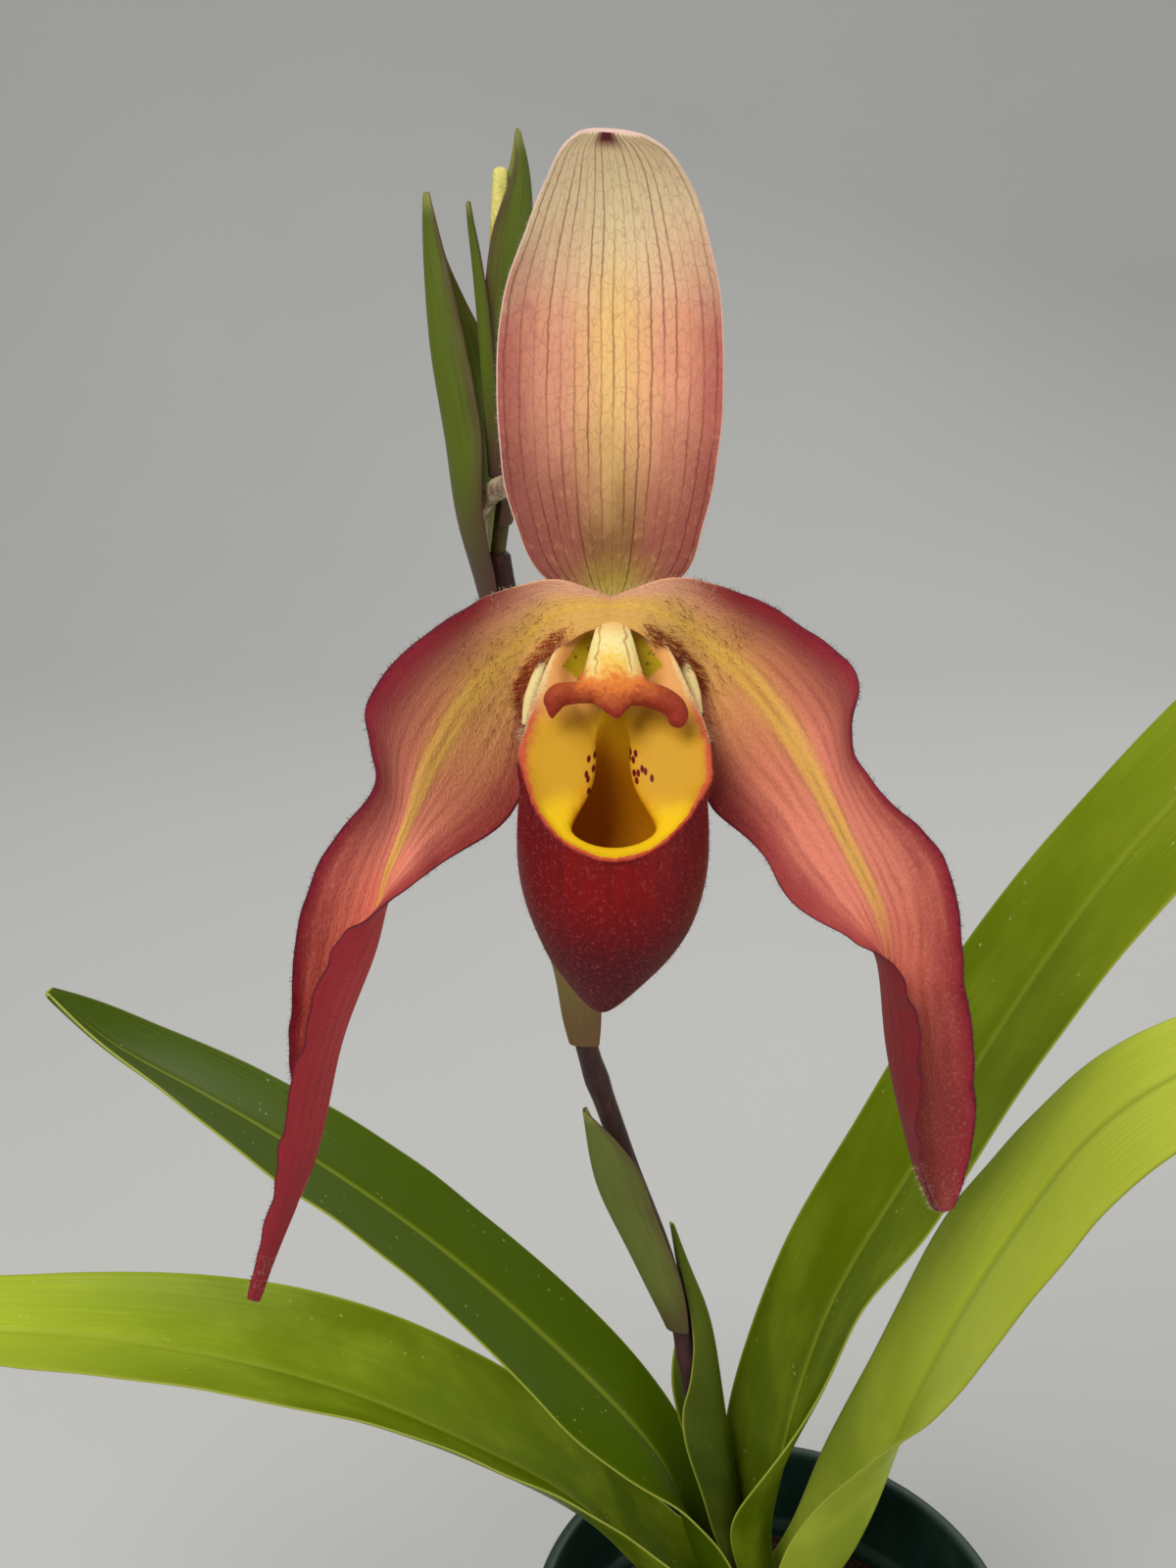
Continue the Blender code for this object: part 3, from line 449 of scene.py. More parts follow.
@dataclass(frozen=True)
class LeafFinish:
    """One face of a leaf: leathery green with fine long veins, pale specks and a paler rib."""

    name: str
    foot: Colour
    blade: Colour
    tip: Colour
    rib: Colour
    roughness: float = 0.36
    specks: float = 0.5
    speck: Colour = tint(205, 205, 140)

    def make(self) -> bpy.types.Material:
        """Return the material."""
        recipe = Recipe(self.name, self.roughness, Subsurface_Weight=0.05, Specular_IOR_Level=0.12)
        recipe.shader.inputs["Subsurface Radius"].default_value = (0.001, 0.002, 0.0005)
        across, from_tip = recipe.uv()
        along = recipe.calc("SUBTRACT", 1.0, from_tip)
        away = recipe.off_rib(across)
        grain_at = recipe.vector(recipe.calc("MULTIPLY", across, 60.0), recipe.calc("MULTIPLY", along, 5.0))
        grain = recipe.noise(grain_at, 1.0, 3.0)
        cloud = recipe.sheet_noise(3.0, 12.0, 4.0)
        body = recipe.ramp(along, [(0.2, self.foot), (0.52, self.blade), (0.95, self.tip)])
        body = recipe.lay(body, self.tip, recipe.step(cloud, 0.4, 0.75), 0.3)
        body = recipe.lay(body, _shade(self.blade, 0.6), recipe.step(grain, 0.3, 0.7), 0.16)
        body = recipe.lay(body, self.rib, recipe.step(away, 0.09, 0.0), 0.5)
        body = recipe.lay(body, self.rib, recipe.step(away, 0.95, 1.0), 0.55)
        speck_at = recipe.vector(recipe.calc("MULTIPLY", across, 13.0), recipe.calc("MULTIPLY", along, 92.0))
        speck = recipe.step(recipe.cells(speck_at, 1.0), 0.13, 0.05)
        rare = recipe.step(recipe.noise(speck_at, 0.31, 1.0), 0.52, 0.6)
        body = recipe.lay(body, self.speck, recipe.both(speck, rare), self.specks)
        ridges = recipe.calc("MULTIPLY_ADD", recipe.lines(across, 26.0, 0.5), 0.2, grain)
        recipe.finish(body, ridges, 0.00008)
        recipe.rough(recipe.calc("MULTIPLY_ADD", cloud, 0.3, self.roughness - 0.15))
        return recipe.material


def _shade(colour: Colour, share: float) -> Colour:
    """The colour made darker by this share."""
    return tuple(value * share for value in colour)


@dataclass(frozen=True)
class EdgeFinish:
    """Thin margin of a leaf, bract, sepal or petal, which may be paler at its foot."""

    name: str
    colour: Colour
    foot: Optional[Colour] = None
    roughness: float = 0.6

    def make(self) -> bpy.types.Material:
        """Return the material."""
        recipe = Recipe(self.name, self.roughness)
        worn = recipe.noise(recipe.place(), 900.0, 2.0)
        body = recipe.lay(self.colour, _shade(self.colour, 0.6), worn, 0.5)
        if self.foot:
            _, along = recipe.uv()
            body = recipe.mix(recipe.step(along, 0.2, 0.08), body, self.foot)
        recipe.finish(body)
        return recipe.material


@dataclass(frozen=True)
class BractFinish:
    """One face of a bract: green, flushed with purple brown at its margins and foot."""

    name: str
    blade: Colour
    flush: Colour
    flush_top: float = 0.3
    roughness: float = 0.5
    pale: Colour = tint(176, 178, 96)

    def make(self) -> bpy.types.Material:
        """Return the material."""
        recipe = Recipe(self.name, self.roughness, Subsurface_Weight=0.05, Sheen_Weight=0.02)
        recipe.shader.inputs["Subsurface Radius"].default_value = (0.001, 0.002, 0.0005)
        across, from_tip = recipe.uv()
        along = recipe.calc("SUBTRACT", 1.0, from_tip)
        grain = recipe.sheet_noise(34.0, 4.0)
        rim = recipe.nudge(recipe.off_rib(across), grain, 0.4)
        body = recipe.lay(self.blade, self.flush, recipe.step(rim, 0.72, 1.05), 0.8)
        low = recipe.nudge(along, grain, 0.2)
        body = recipe.mix(recipe.step(low, self.flush_top, 0.02), body, self.flush)
        body = recipe.lay(body, _shade(self.blade, 0.6), recipe.step(grain, 0.3, 0.7), 0.25)
        body = recipe.lay(body, self.pale, recipe.step(along, 0.93, 1.0), 0.6)
        recipe.finish(body, grain, 0.0002)
        return recipe.material


@dataclass(frozen=True)
class StalkFinish:
    """Stem, ovary or bud: two tones in long fine streaks, and a darker foot where there is one."""

    name: str
    light: Colour
    dark: Colour
    roughness: float = 0.55
    speckle: float = 420.0
    foot: Optional[Colour] = None
    foot_top: float = 0.4

    def make(self) -> bpy.types.Material:
        """Return the material."""
        recipe = Recipe(self.name, self.roughness, Subsurface_Weight=0.04, Sheen_Weight=0.06)
        recipe.shader.inputs["Subsurface Radius"].default_value = (0.002, 0.001, 0.001)
        stretch = recipe.add("Mapping")
        recipe.feed(stretch.inputs[0], recipe.place())
        stretch.inputs["Scale"].default_value = (1.0, 1.0, 0.22)
        streak = recipe.noise(stretch.outputs[0], self.speckle, 4.0)
        fine = recipe.noise(recipe.place(), 3.1 * self.speckle, 2.0)
        body = recipe.mix(recipe.step(streak, 0.34, 0.66), self.light, self.dark)
        body = recipe.lay(body, self.light, recipe.step(fine, 0.55, 0.75), 0.4)
        if self.foot:
            level = recipe.nudge(recipe.height(), streak, 0.006)
            body = recipe.mix(recipe.step(level, self.foot_top, self.foot_top - 0.008), body, self.foot)
        recipe.finish(body, recipe.calc("ADD", streak, fine), 0.00022)
        return recipe.material


@dataclass(frozen=True)
class PouchFinish:
    """The slipper: dark crimson outside, an orange rim and a yellow mouth with maroon spots."""

    name: str = "pouch"
    outside: Colour = tint(126, 12, 10)
    shaded: Colour = tint(82, 8, 20)
    flame: Colour = tint(202, 88, 54)
    yellow: Colour = tint(212, 160, 42)
    bright: Colour = tint(250, 206, 26)
    peach: Colour = tint(232, 168, 96)
    cream: Colour = tint(236, 206, 144)
    olive: Colour = tint(180, 154, 24)
    # Throat colours, darker low and lighter high: painted shade inside the pouch. The hollow colour also
    # tints the lobe's mottle.
    hollow: Colour = tint(212, 138, 8)
    far: Colour = tint(232, 180, 24)
    down: Colour = tint(190, 84, 84)
    peat: Colour = tint(60, 30, 14)
    maroon: Colour = tint(104, 14, 16)
    rim_at: float = 0.5
    throat_at: float = 0.7
    spots: tuple[tuple[float, float], ...] = (
        (-45.9, 369.4), (-45.1, 369.6), (-45.3, 368.3), (-46.2, 367.9), (-44.8, 368.0), (-46.0, 367.4),
        (-45.9, 366.1), (-40.6, 369.9), (-40.7, 369.3), (-40.2, 369.2), (-39.9, 369.9), (-39.1, 368.5),
        (-38.7, 368.3), (-37.9, 367.7), (-40.1, 367.9), (-39.6, 368.0), (-39.8, 367.2),
    )

    def make(self) -> bpy.types.Material:
        """Return the material."""
        recipe = Recipe(self.name, 0.5, Subsurface_Weight=0.06, Specular_IOR_Level=0.14)
        recipe.shader.inputs["Subsurface Radius"].default_value = (0.004, 0.0012, 0.001)
        _, along = recipe.uv()
        x, y, z = recipe.axes()
        side = recipe.calc("ABSOLUTE", recipe.calc("SUBTRACT", x, HUB_X * MM))
        streak = recipe.sheet_noise(60.0, 7.0, 4.0)
        cloud = recipe.noise(recipe.place(), 190.0, 4.0)
        torn = recipe.noise(recipe.place(), 1100.0, 3.0)
        ragged = recipe.nudge(recipe.nudge(along, streak, 0.03), torn, 0.03)
        lower = recipe.step(z, 0.378, 0.3735)
        level = recipe.nudge(z, cloud, 0.004)
        toe = recipe.step(recipe.nudge(z, streak, 0.008), 0.357, 0.345)
        skin = recipe.mix(toe, self.outside, self.shaded)
        flank = recipe.step(recipe.nudge(side, streak, 0.004), 0.0035, 0.011)
        skin = recipe.lay(skin, self.shaded, flank, 0.55)
        skin = recipe.lay(skin, self.shaded, recipe.step(streak, 0.42, 0.66), 0.3)
        stipple = recipe.step(recipe.noise(recipe.place(), 1900.0, 2.0), 0.56, 0.7)
        skin = recipe.lay(skin, self.down, stipple, 0.22)
        skin = recipe.mix(recipe.step(level, 0.3695, 0.375), skin, self.cream)
        glow = recipe.both(recipe.step(ragged, self.rim_at - 0.045, self.rim_at - 0.01), lower)
        skin = recipe.mix(glow, skin, self.flame)
        front_lip = recipe.step(recipe.nudge(z, cloud, 0.003), 0.3675, 0.3635)
        lobe = recipe.mix(front_lip, self.yellow, self.bright)
        lobe = recipe.mix(recipe.step(level, 0.3725, 0.377), lobe, self.peach)
        lobe = recipe.lay(lobe, self.hollow, recipe.step(cloud, 0.45, 0.75), 0.12)
        edge = recipe.both(recipe.step(ragged, self.rim_at + 0.03, self.rim_at), lower)
        lobe = recipe.lay(lobe, self.flame, recipe.both(edge, recipe.step(z, 0.364, 0.372)), 0.5)
        # Painted shade inside the throat: darker deep down, lighter higher up.
        deep = recipe.step(ragged, self.throat_at - 0.025, self.throat_at + 0.03)
        lobe = recipe.mix(deep, lobe, recipe.mix(recipe.step(z, 0.364, 0.373), self.hollow, self.far))
        lobe = recipe.mix(self.windows(recipe, along, side), lobe, self.back(recipe))
        front = recipe.step(along, self.throat_at + 0.06, self.throat_at + 0.02)
        dotted = recipe.both(recipe.spots(self.spots, 0.24, 1.6), front, recipe.step(y, -0.103, -0.105))
        lobe = recipe.mix(dotted, lobe, self.maroon)
        inside = recipe.step(recipe.nudge(along, torn, 0.03), self.rim_at - 0.01, self.rim_at + 0.01)
        recipe.finish(recipe.mix(inside, skin, lobe), recipe.calc("ADD", torn, cloud), 0.0001)
        return recipe.material

    def windows(self, recipe: Recipe, along: Socket, side: Socket) -> Socket:
        """Mask of the two three-cornered openings that stand beside the column."""
        _, y, z = recipe.axes()
        window = recipe.both(recipe.step(z, 0.3735, 0.3755), recipe.step(y, -0.1025, -0.1005))
        window = recipe.both(window, recipe.step(along, self.rim_at + 0.028, self.rim_at + 0.046))
        sill = recipe.calc("MULTIPLY_ADD", side, -0.95, z)
        head = recipe.calc("MULTIPLY_ADD", side, 1.2, z)
        return recipe.both(window, recipe.step(sill, 0.3728, 0.3736), recipe.step(head, 0.3879, 0.387))

    def back(self, recipe: Recipe) -> Socket:
        """Speckled olive of the pouch's back, which the windows show."""
        speck = recipe.step(recipe.cells(recipe.place(), 900.0), 0.3, 0.15)
        return recipe.lay(self.olive, self.peat, speck, 0.6)


@dataclass(frozen=True)
class ColumnFinish:
    """The column: cream above, orange below, and brown red at its lower edge and horns."""

    name: str = "column"
    cream: Colour = tint(252, 236, 160)
    yellow: Colour = tint(248, 206, 96)
    orange: Colour = tint(228, 126, 46)
    brown: Colour = tint(150, 42, 18)
    saddle: Colour = tint(240, 196, 116)
    seam: Colour = tint(176, 108, 50)

    def make(self) -> bpy.types.Material:
        """Return the material."""
        recipe = Recipe(self.name, 0.65, Subsurface_Weight=0.1, Sheen_Weight=0.05)
        recipe.shader.inputs["Subsurface Radius"].default_value = (0.003, 0.0015, 0.001)
        x, _, z = recipe.axes()
        side = recipe.calc("ABSOLUTE", recipe.calc("SUBTRACT", x, HUB_X * MM))
        fine = recipe.noise(recipe.place(), 1500.0, 3.0)
        level = recipe.calc("DIVIDE", recipe.calc("SUBTRACT", z, 0.3745), 0.011)
        soft = recipe.noise(recipe.place(), 420.0, 2.0)
        level = recipe.nudge(recipe.nudge(level, fine, 0.25), soft, 0.25)
        warm = _between(self.brown, self.orange, 0.3)
        stops = [(0.17, self.brown), (0.3, warm), (0.46, self.orange), (0.64, self.yellow), (0.8, self.cream)]
        body = recipe.ramp(level, stops)
        body = recipe.mix(recipe.step(z, 0.3835, 0.3857), body, self.saddle)
        arm = recipe.both(recipe.step(side, 0.0032, 0.0062), recipe.step(z, 0.3815, 0.3795))
        body = recipe.lay(body, self.brown, arm, 0.75)
        upper = recipe.step(z, 0.3795, 0.3815)
        body = recipe.lay(body, self.cream, recipe.both(recipe.step(side, 0.0014, 0.0021), upper), 0.7)
        seam_at = recipe.calc("MULTIPLY_ADD", z, -0.22, 0.0861)
        apart = recipe.calc("ABSOLUTE", recipe.calc("SUBTRACT", recipe.nudge(side, soft, 0.0014), seam_at))
        seam = recipe.both(recipe.step(apart, 0.00024, 0.00006), upper)
        body = recipe.lay(body, self.seam, seam, 0.6)
        dot = recipe.step(recipe.cells(recipe.place(), 1300.0), 0.17, 0.1)
        body = recipe.lay(body, self.brown, dot, 0.4)
        recipe.finish(body, fine, 0.00025)
        return recipe.material


@dataclass(frozen=True)
class BarkFinish:
    """Chips of orchid bark, or of pale pumice, with a rough broken surface."""

    name: str
    light: Colour
    dark: Colour
    grain: float = 260.0
    depth: float = 0.0009

    def make(self) -> bpy.types.Material:
        """Return the material."""
        recipe = Recipe(self.name, 0.92)
        coarse = recipe.noise(recipe.place(), self.grain, 6.0, 0.6)
        patch = recipe.noise(recipe.place(), self.grain * 0.24, 2.0)
        crack = recipe.step(recipe.cells(recipe.place(), self.grain * 1.2, edges=True), 0.08, 0.0)
        body = recipe.mix(recipe.step(coarse, 0.3, 0.7), self.dark, self.light)
        body = recipe.lay(body, _shade(self.dark, 0.6), recipe.step(patch, 0.4, 0.65), 0.6)
        body = recipe.lay(body, _shade(self.dark, 0.3), crack, 0.6)
        recipe.finish(body, recipe.calc("SUBTRACT", coarse, recipe.calc("MULTIPLY", crack, 0.5)), self.depth)
        return recipe.material


@dataclass(frozen=True)
class PlasticFinish:
    """Moulded dark green plastic with faint scuffs and dust, and a painted highlight along its lip."""

    name: str = "pot plastic"
    colour: Colour = tint(15, 42, 33)
    dust_and_highlight: Colour = tint(96, 116, 104)

    def make(self) -> bpy.types.Material:
        """Return the material."""
        recipe = Recipe(self.name, 0.42)
        cloud = recipe.noise(recipe.place(), 55.0, 5.0)
        scuff_at = recipe.add("Mapping")
        recipe.feed(scuff_at.inputs[0], recipe.place())
        scuff_at.inputs["Scale"].default_value = (1.0, 1.0, 0.12)
        scuff = recipe.noise(scuff_at.outputs[0], 700.0, 3.0)
        body = recipe.lay(self.colour, self.dust_and_highlight, recipe.step(cloud, 0.4, 0.75), 0.12)
        body = recipe.lay(body, self.dust_and_highlight, recipe.step(scuff, 0.6, 0.75), 0.1)
        # Painted highlight: a lighter band along the lip.
        body = recipe.lay(body, self.dust_and_highlight, recipe.step(recipe.height(), 0.103, 0.1048), 0.16)
        recipe.rough(recipe.calc("MULTIPLY_ADD", cloud, 0.3, 0.28))
        recipe.finish(body, recipe.calc("ADD", cloud, scuff), 0.00008)
        return recipe.material


@dataclass(frozen=True)
class DownFinish:
    """Fine hairs of one colour."""

    name: str
    colour: Colour

    def make(self) -> bpy.types.Material:
        """Return the material."""
        recipe = Recipe(self.name, 0.6)
        tone = recipe.noise(recipe.place(), 600.0, 1.0)
        recipe.finish(recipe.mix(tone, self.colour, _shade(self.colour, 0.5)))
        return recipe.material


def read_spline(knots: np.ndarray, place: np.ndarray, wanted: np.ndarray) -> np.ndarray:
    """Read the natural cubic spline through some knots.

    Args:
        knots: one point a row.
        place: where each knot stands along the curve.
        wanted: places to read.

    Returns:
        The points at those places.
    """
    last = len(knots) - 1
    gap = np.diff(place)
    system = np.eye(last + 1)
    right = np.zeros_like(knots)
    for i in range(1, last):
        system[i, i - 1 : i + 2] = gap[i - 1], 2.0 * (gap[i - 1] + gap[i]), gap[i]
        right[i] = 6.0 * ((knots[i + 1] - knots[i]) / gap[i] - (knots[i] - knots[i - 1]) / gap[i - 1])
    bend = np.linalg.solve(system, right)
    i = np.clip(np.searchsorted(place, wanted) - 1, 0, last - 1)
    ahead = ((place[i + 1] - wanted) / gap[i])[:, None]
    behind = 1.0 - ahead
    curve = (ahead**3 - ahead) * bend[i] + (behind**3 - behind) * bend[i + 1]
    return ahead * knots[i] + behind * knots[i + 1] + curve * (gap[i] ** 2 / 6.0)[:, None]


def smooth_curve(points: Sequence[Point], count: int) -> np.ndarray:
    """Read this many points, at even steps, from the smooth curve through the points."""
    knots = np.array(points, dtype=float)
    steps = np.linalg.norm(np.diff(knots, axis=0), axis=1)
    place = np.concatenate(([0.0], np.cumsum(steps)))
    return read_spline(knots, place, np.linspace(0.0, place[-1], count))


def loft(stations: Sequence[Station], along: int, across: int, fold: float) -> np.ndarray:
    """Loft a sheet through its stations of edge, rib and edge.

    Args:
        stations: from the sheet's foot to its tip or the other way, in millimetres.
        along: steps along the sheet.
        across: steps across it.
        fold: 0 for a bowed section and 1 for two flat halves that meet at the rib.

    Returns:
        The points, as rows along the sheet.
    """
    rails = np.array(stations, dtype=float)
    steps = np.linalg.norm(np.diff(rails, axis=0), axis=2).mean(axis=1)
    place = np.concatenate(([0.0], np.cumsum(steps)))
    wanted = np.linspace(0.0, place[-1], along + 1)
    first, rib, second = (read_spline(rails[:, k], place, wanted)[:, None] for k in range(3))
    t = np.linspace(0.0, 1.0, across + 1)[None, :, None]
    handle = 2.0 * rib - 0.5 * (first + second)
    arc = (1 - t) ** 2 * first + 2 * t * (1 - t) * handle + t**2 * second
    side = np.where(t <= 0.5, first, second)
    weight = np.abs(1.0 - 2.0 * t)
    return (1.0 - fold) * arc + fold * (weight * side + (1.0 - weight) * rib)


def normals_of(grid: np.ndarray, facing: Point) -> np.ndarray:
    """Unit normals of a sheet's points, on the side that faces this way."""
    normal = np.cross(np.gradient(grid, axis=1), np.gradient(grid, axis=0))
    normal /= np.maximum(np.linalg.norm(normal, axis=2, keepdims=True), 1e-9)
    first = normal[: 2 * len(normal) // 5]
    return normal * (1.0 if (first @ np.array(facing)).sum() >= 0 else -1.0)


def deselect_all() -> None:
    """Deselect every object."""
    for obj in bpy.context.selected_objects:
        obj.select_set(False)


def take(obj: bpy.types.Object) -> None:
    """Make this the one selected and active object."""
    deselect_all()
    obj.select_set(True)
    bpy.context.view_layer.objects.active = obj


def apply_modifier(obj: bpy.types.Object, name: str, kind: str, **settings: object) -> None:
    """Add a modifier, set it and apply it.

    Args:
        obj: the object.
        name: the modifier's name.
        kind: its type.
        **settings: its properties.
    """
    take(obj)
    modifier = obj.modifiers.new(name, kind)
    for label, value in settings.items():
        setattr(modifier, label, value)
    bpy.ops.object.modifier_apply(modifier=name)


def edit(obj: bpy.types.Object, *steps: Callable[[], object]) -> None:
    """Run operators on all of a mesh in edit mode, in order."""
    take(obj)
    bpy.ops.object.mode_set(mode="EDIT")
    bpy.ops.mesh.select_all(action="SELECT")
    for step in steps:
        step()
    bpy.ops.object.mode_set(mode="OBJECT")


def grid_object(name: str, grid: np.ndarray) -> bpy.types.Object:
    """Lay a UV-mapped grid primitive over a sheet of points in millimetres.

    Args:
        name: the object's name.
        grid: rows of points.

    Returns:
        The object, with U across the rows and V along them.
    """
    rows, columns = grid.shape[:2]
    deselect_all()
    bpy.ops.mesh.primitive_grid_add(x_subdivisions=columns - 1, y_subdivisions=rows - 1, size=2.0)
    obj = bpy.context.object
    obj.name = obj.data.name = name
    flat = np.empty(3 * rows * columns)
    obj.data.vertices.foreach_get("co", flat)
    flat = flat.reshape(-1, 3)
    i = np.rint((flat[:, 1] + 1.0) / 2.0 * (rows - 1)).astype(int)
    j = np.rint((flat[:, 0] + 1.0) / 2.0 * (columns - 1)).astype(int)
    obj.data.vertices.foreach_set("co", (grid[i, j] * MM).ravel())
    obj.data.update()
    return obj


def repeat(obj: bpy.types.Object, places: np.ndarray) -> None:
    """Copy a mesh until there is one for each set of points in millimetres, and lay each there."""
    count = len(places)
    apply_modifier(obj, "Copies", "ARRAY", count=count, use_relative_offset=False, use_constant_offset=True)
    obj.data.vertices.foreach_set("co", (places * MM).ravel())
    obj.data.update()


def register(obj: bpy.types.Object, slot: str, *nodes: str) -> bpy.types.Object:
    """Let a piece ride with the plant, and hide the nodes that it stands for."""
    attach(obj, BODY)
    if nodes:
        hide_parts(*nodes)
    LOG.info("%s: %d faces", obj.name, len(obj.data.polygons))
    return obj


@dataclass
class Blade:
    """A leaf, petal, sepal or bract: a thin sheet, thickest along its rib."""

    name: str
    slot: str
    stations: list[Station]
    finishes: tuple[bpy.types.Material, bpy.types.Material, bpy.types.Material]
    facing: Point
    thickness: float = 0.9
    edge_share: float = 0.4
    fold: float = 0.0
    along: int = 80
    across: int = 28
    relief: Optional[Relief] = None
    grid: np.ndarray = field(init=False)
    normal: np.ndarray = field(init=False)

    def __post_init__(self) -> None:
        """Loft the sheet and raise its relief."""
        grid = loft(self.stations, self.along, self.across, self.fold)
        self.normal = normals_of(grid, self.facing)
        if self.relief:
            shares = (np.linspace(0, 1, count + 1) for count in (self.along, self.across))
            s, t = np.meshgrid(*shares, indexing="ij")
            grid = grid + self.normal * self.relief(s, t)[..., None]
            self.normal = normals_of(grid, self.facing)
        self.grid = grid

    def build(self) -> bpy.types.Object:
        """Model the blade and return it."""
        obj = grid_object(self.name, self.grid)
        uv = obj.data.uv_layers.active.data
        agreement = 0.0
        for polygon in obj.data.polygons:
            across, along = uv[polygon.loop_start].uv
            wanted = self.normal[round(along * self.along), round(across * self.across)]
            agreement += polygon.normal.dot(Vector(wanted))
        if agreement < 0:
            edit(obj, bpy.ops.mesh.flip_normals)
        for finish in self.finishes:
            obj.data.materials.append(finish)
        body = obj.vertex_groups.new(name="body")
        uv = obj.data.uv_layers.active.data
        share = {}
        for polygon in obj.data.polygons:
            for loop, vertex in zip(polygon.loop_indices, polygon.vertices):
                share[vertex] = 1.0 - abs(2.0 * uv[loop].uv.x - 1.0) ** 4
        for vertex, weight in share.items():
            body.add([vertex], weight, "REPLACE")
        apply_modifier(
            obj, "Wall", "SOLIDIFY", thickness=self.thickness * MM, offset=0.0, use_rim=True,
            material_offset=1, material_offset_rim=2,
            vertex_group="body", thickness_vertex_group=self.edge_share,
        )
        apply_modifier(obj, "Round", "SUBSURF", levels=1, render_levels=1)
        bpy.ops.object.shade_smooth()
        return obj


@dataclass(frozen=True)
class Ruffle:
    """Relief of a sheet: raised veins, a groove on the rib, a rippled margin and soft dents."""

    veins: float = 0.0
    vein_count: int = 15
    groove: float = 0.0
    groove_width: float = 0.1
    ripple: float = 0.0
    ripples: float = 14.0
    dents: float = 0.0
    seed: int = 1
    calm: float = 0.11

    def __call__(self, s: np.ndarray, t: np.ndarray) -> np.ndarray:
        """Return how far each point rises, in millimetres."""
        rng = random.Random(self.seed)
        away = np.abs(2.0 * t - 1.0)
        fade = np.clip(np.minimum(s / self.calm, (1.0 - s) * 9.0), 0.0, 1.0)
        rise = self.veins * np.abs(np.cos(math.pi * self.vein_count * t)) ** 3 * (0.4 + 0.6 * away)
        rise = rise - self.groove * np.exp(-((away / self.groove_width) ** 2))
        side = (t > 0.5).astype(float)
        for wave in range(3):
            count = self.ripples * (0.6 + 0.45 * wave) * rng.uniform(0.9, 1.1)
            shift = rng.uniform(0, 6) + side * rng.uniform(0, 6)
            rise = rise + self.ripple * away**5 * np.sin(2 * math.pi * count * s + shift) / (1.0 + wave)
        for _ in range(5):
            turn = rng.uniform(2.0, 7.0), rng.uniform(-3.0, 3.0), rng.uniform(0, 6)
            rise = rise + 0.45 * self.dents * np.sin(turn[0] * 2.2 * s + turn[1] * 2.0 * t + turn[2])
        return rise * fade


def ring_grid(rings: Sequence[np.ndarray]) -> np.ndarray:
    """Close each ring of points, so that the rings make the rows of one wrapped sheet."""
    return np.array([np.vstack((ring, ring[:1])) for ring in rings])


def wrapped_object(name: str, grid: np.ndarray, smooth: int = 0) -> bpy.types.Object:
    """Model a closed skin from a wrapped sheet, whose seam and end points are merged.

    Args:
        name: the object's name.
        grid: rows of closed rings, in millimetres.
        smooth: levels of subdivision.

    Returns:
        The object, with its faces turned outwards.
    """
    obj = grid_object(name, grid)
    edit(
        obj,
        lambda: bpy.ops.mesh.remove_doubles(threshold=1e-6),
        lambda: bpy.ops.mesh.normals_make_consistent(inside=False),
    )
    if smooth:
        apply_modifier(obj, "Round", "SUBSURF", levels=smooth, render_levels=smooth)
    take(obj)
    bpy.ops.object.shade_smooth()
    return obj


def oval(centre: Point, half_x: float, half_y: float, sides: int) -> np.ndarray:
    """Level oval ring of points, round from the back."""
    angle = np.arange(sides) / sides * 2 * math.pi
    x, y = centre[0] + half_x * np.sin(angle), centre[1] + half_y * np.cos(angle)
    return np.stack((x, y, np.full(sides, centre[2])), axis=1)


@dataclass
class Tube:
    """A stalk or limb along a smooth curve, which may be flat or ribbed."""

    route: list[Point]
    radii: Sequence[float]
    flat: float = 1.0
    steps: int = 40
    sides: int = 20
    ribs: int = 0
    rib_height: float = 0.0
    up: Point = (0.0, 0.35, 1.0)
    swellings: Sequence[tuple[float, float]] = ()

    def grid(self) -> np.ndarray:
        """Return the closed rings, with both ends drawn in to a point."""
        line = smooth_curve(self.route, self.steps + 1)
        share = np.linspace(0, 1, self.steps + 1)
        radius = np.interp(share, np.linspace(0, 1, len(self.radii)), self.radii)
        for at, more in self.swellings:
            radius = radius + more * np.exp(-(((share - at) / 0.012) ** 2))
        ahead = np.gradient(line, axis=0)
        ahead /= np.linalg.norm(ahead, axis=1, keepdims=True)
        side = np.cross(ahead, np.array(self.up))
        side /= np.linalg.norm(side, axis=1, keepdims=True)
        top = np.cross(side, ahead)
        angle = np.arange(self.sides) / self.sides * 2 * math.pi
        bulge = np.ones(self.sides)
        if self.ribs:
            bulge += self.rib_height * np.abs(np.cos(angle * self.ribs / 2))
        rings = []
        for p, r, a, b in zip(line, radius, side, top):
            wide = np.outer(np.cos(angle) * bulge * r, a)
            rings.append(p + wide + np.outer(np.sin(angle) * bulge * r * self.flat, b))
        ends = []
        for index, sign in ((0, -1.0), (-1, 1.0)):
            cap = []
            for shrink, out in ((0.8, 0.5), (0.45, 0.8), (0.0, 0.9)):
                push = sign * out * 0.6 * radius[index] * ahead[index]
                cap.append(line[index] + (rings[index] - line[index]) * shrink + push)
            ends.append(cap)
        return ring_grid(ends[0][::-1] + rings + ends[1])

    def build(self, name: str, smooth: int = 0) -> bpy.types.Object:
        """Model the tube and return it."""
        return wrapped_object(name, self.grid(), smooth)


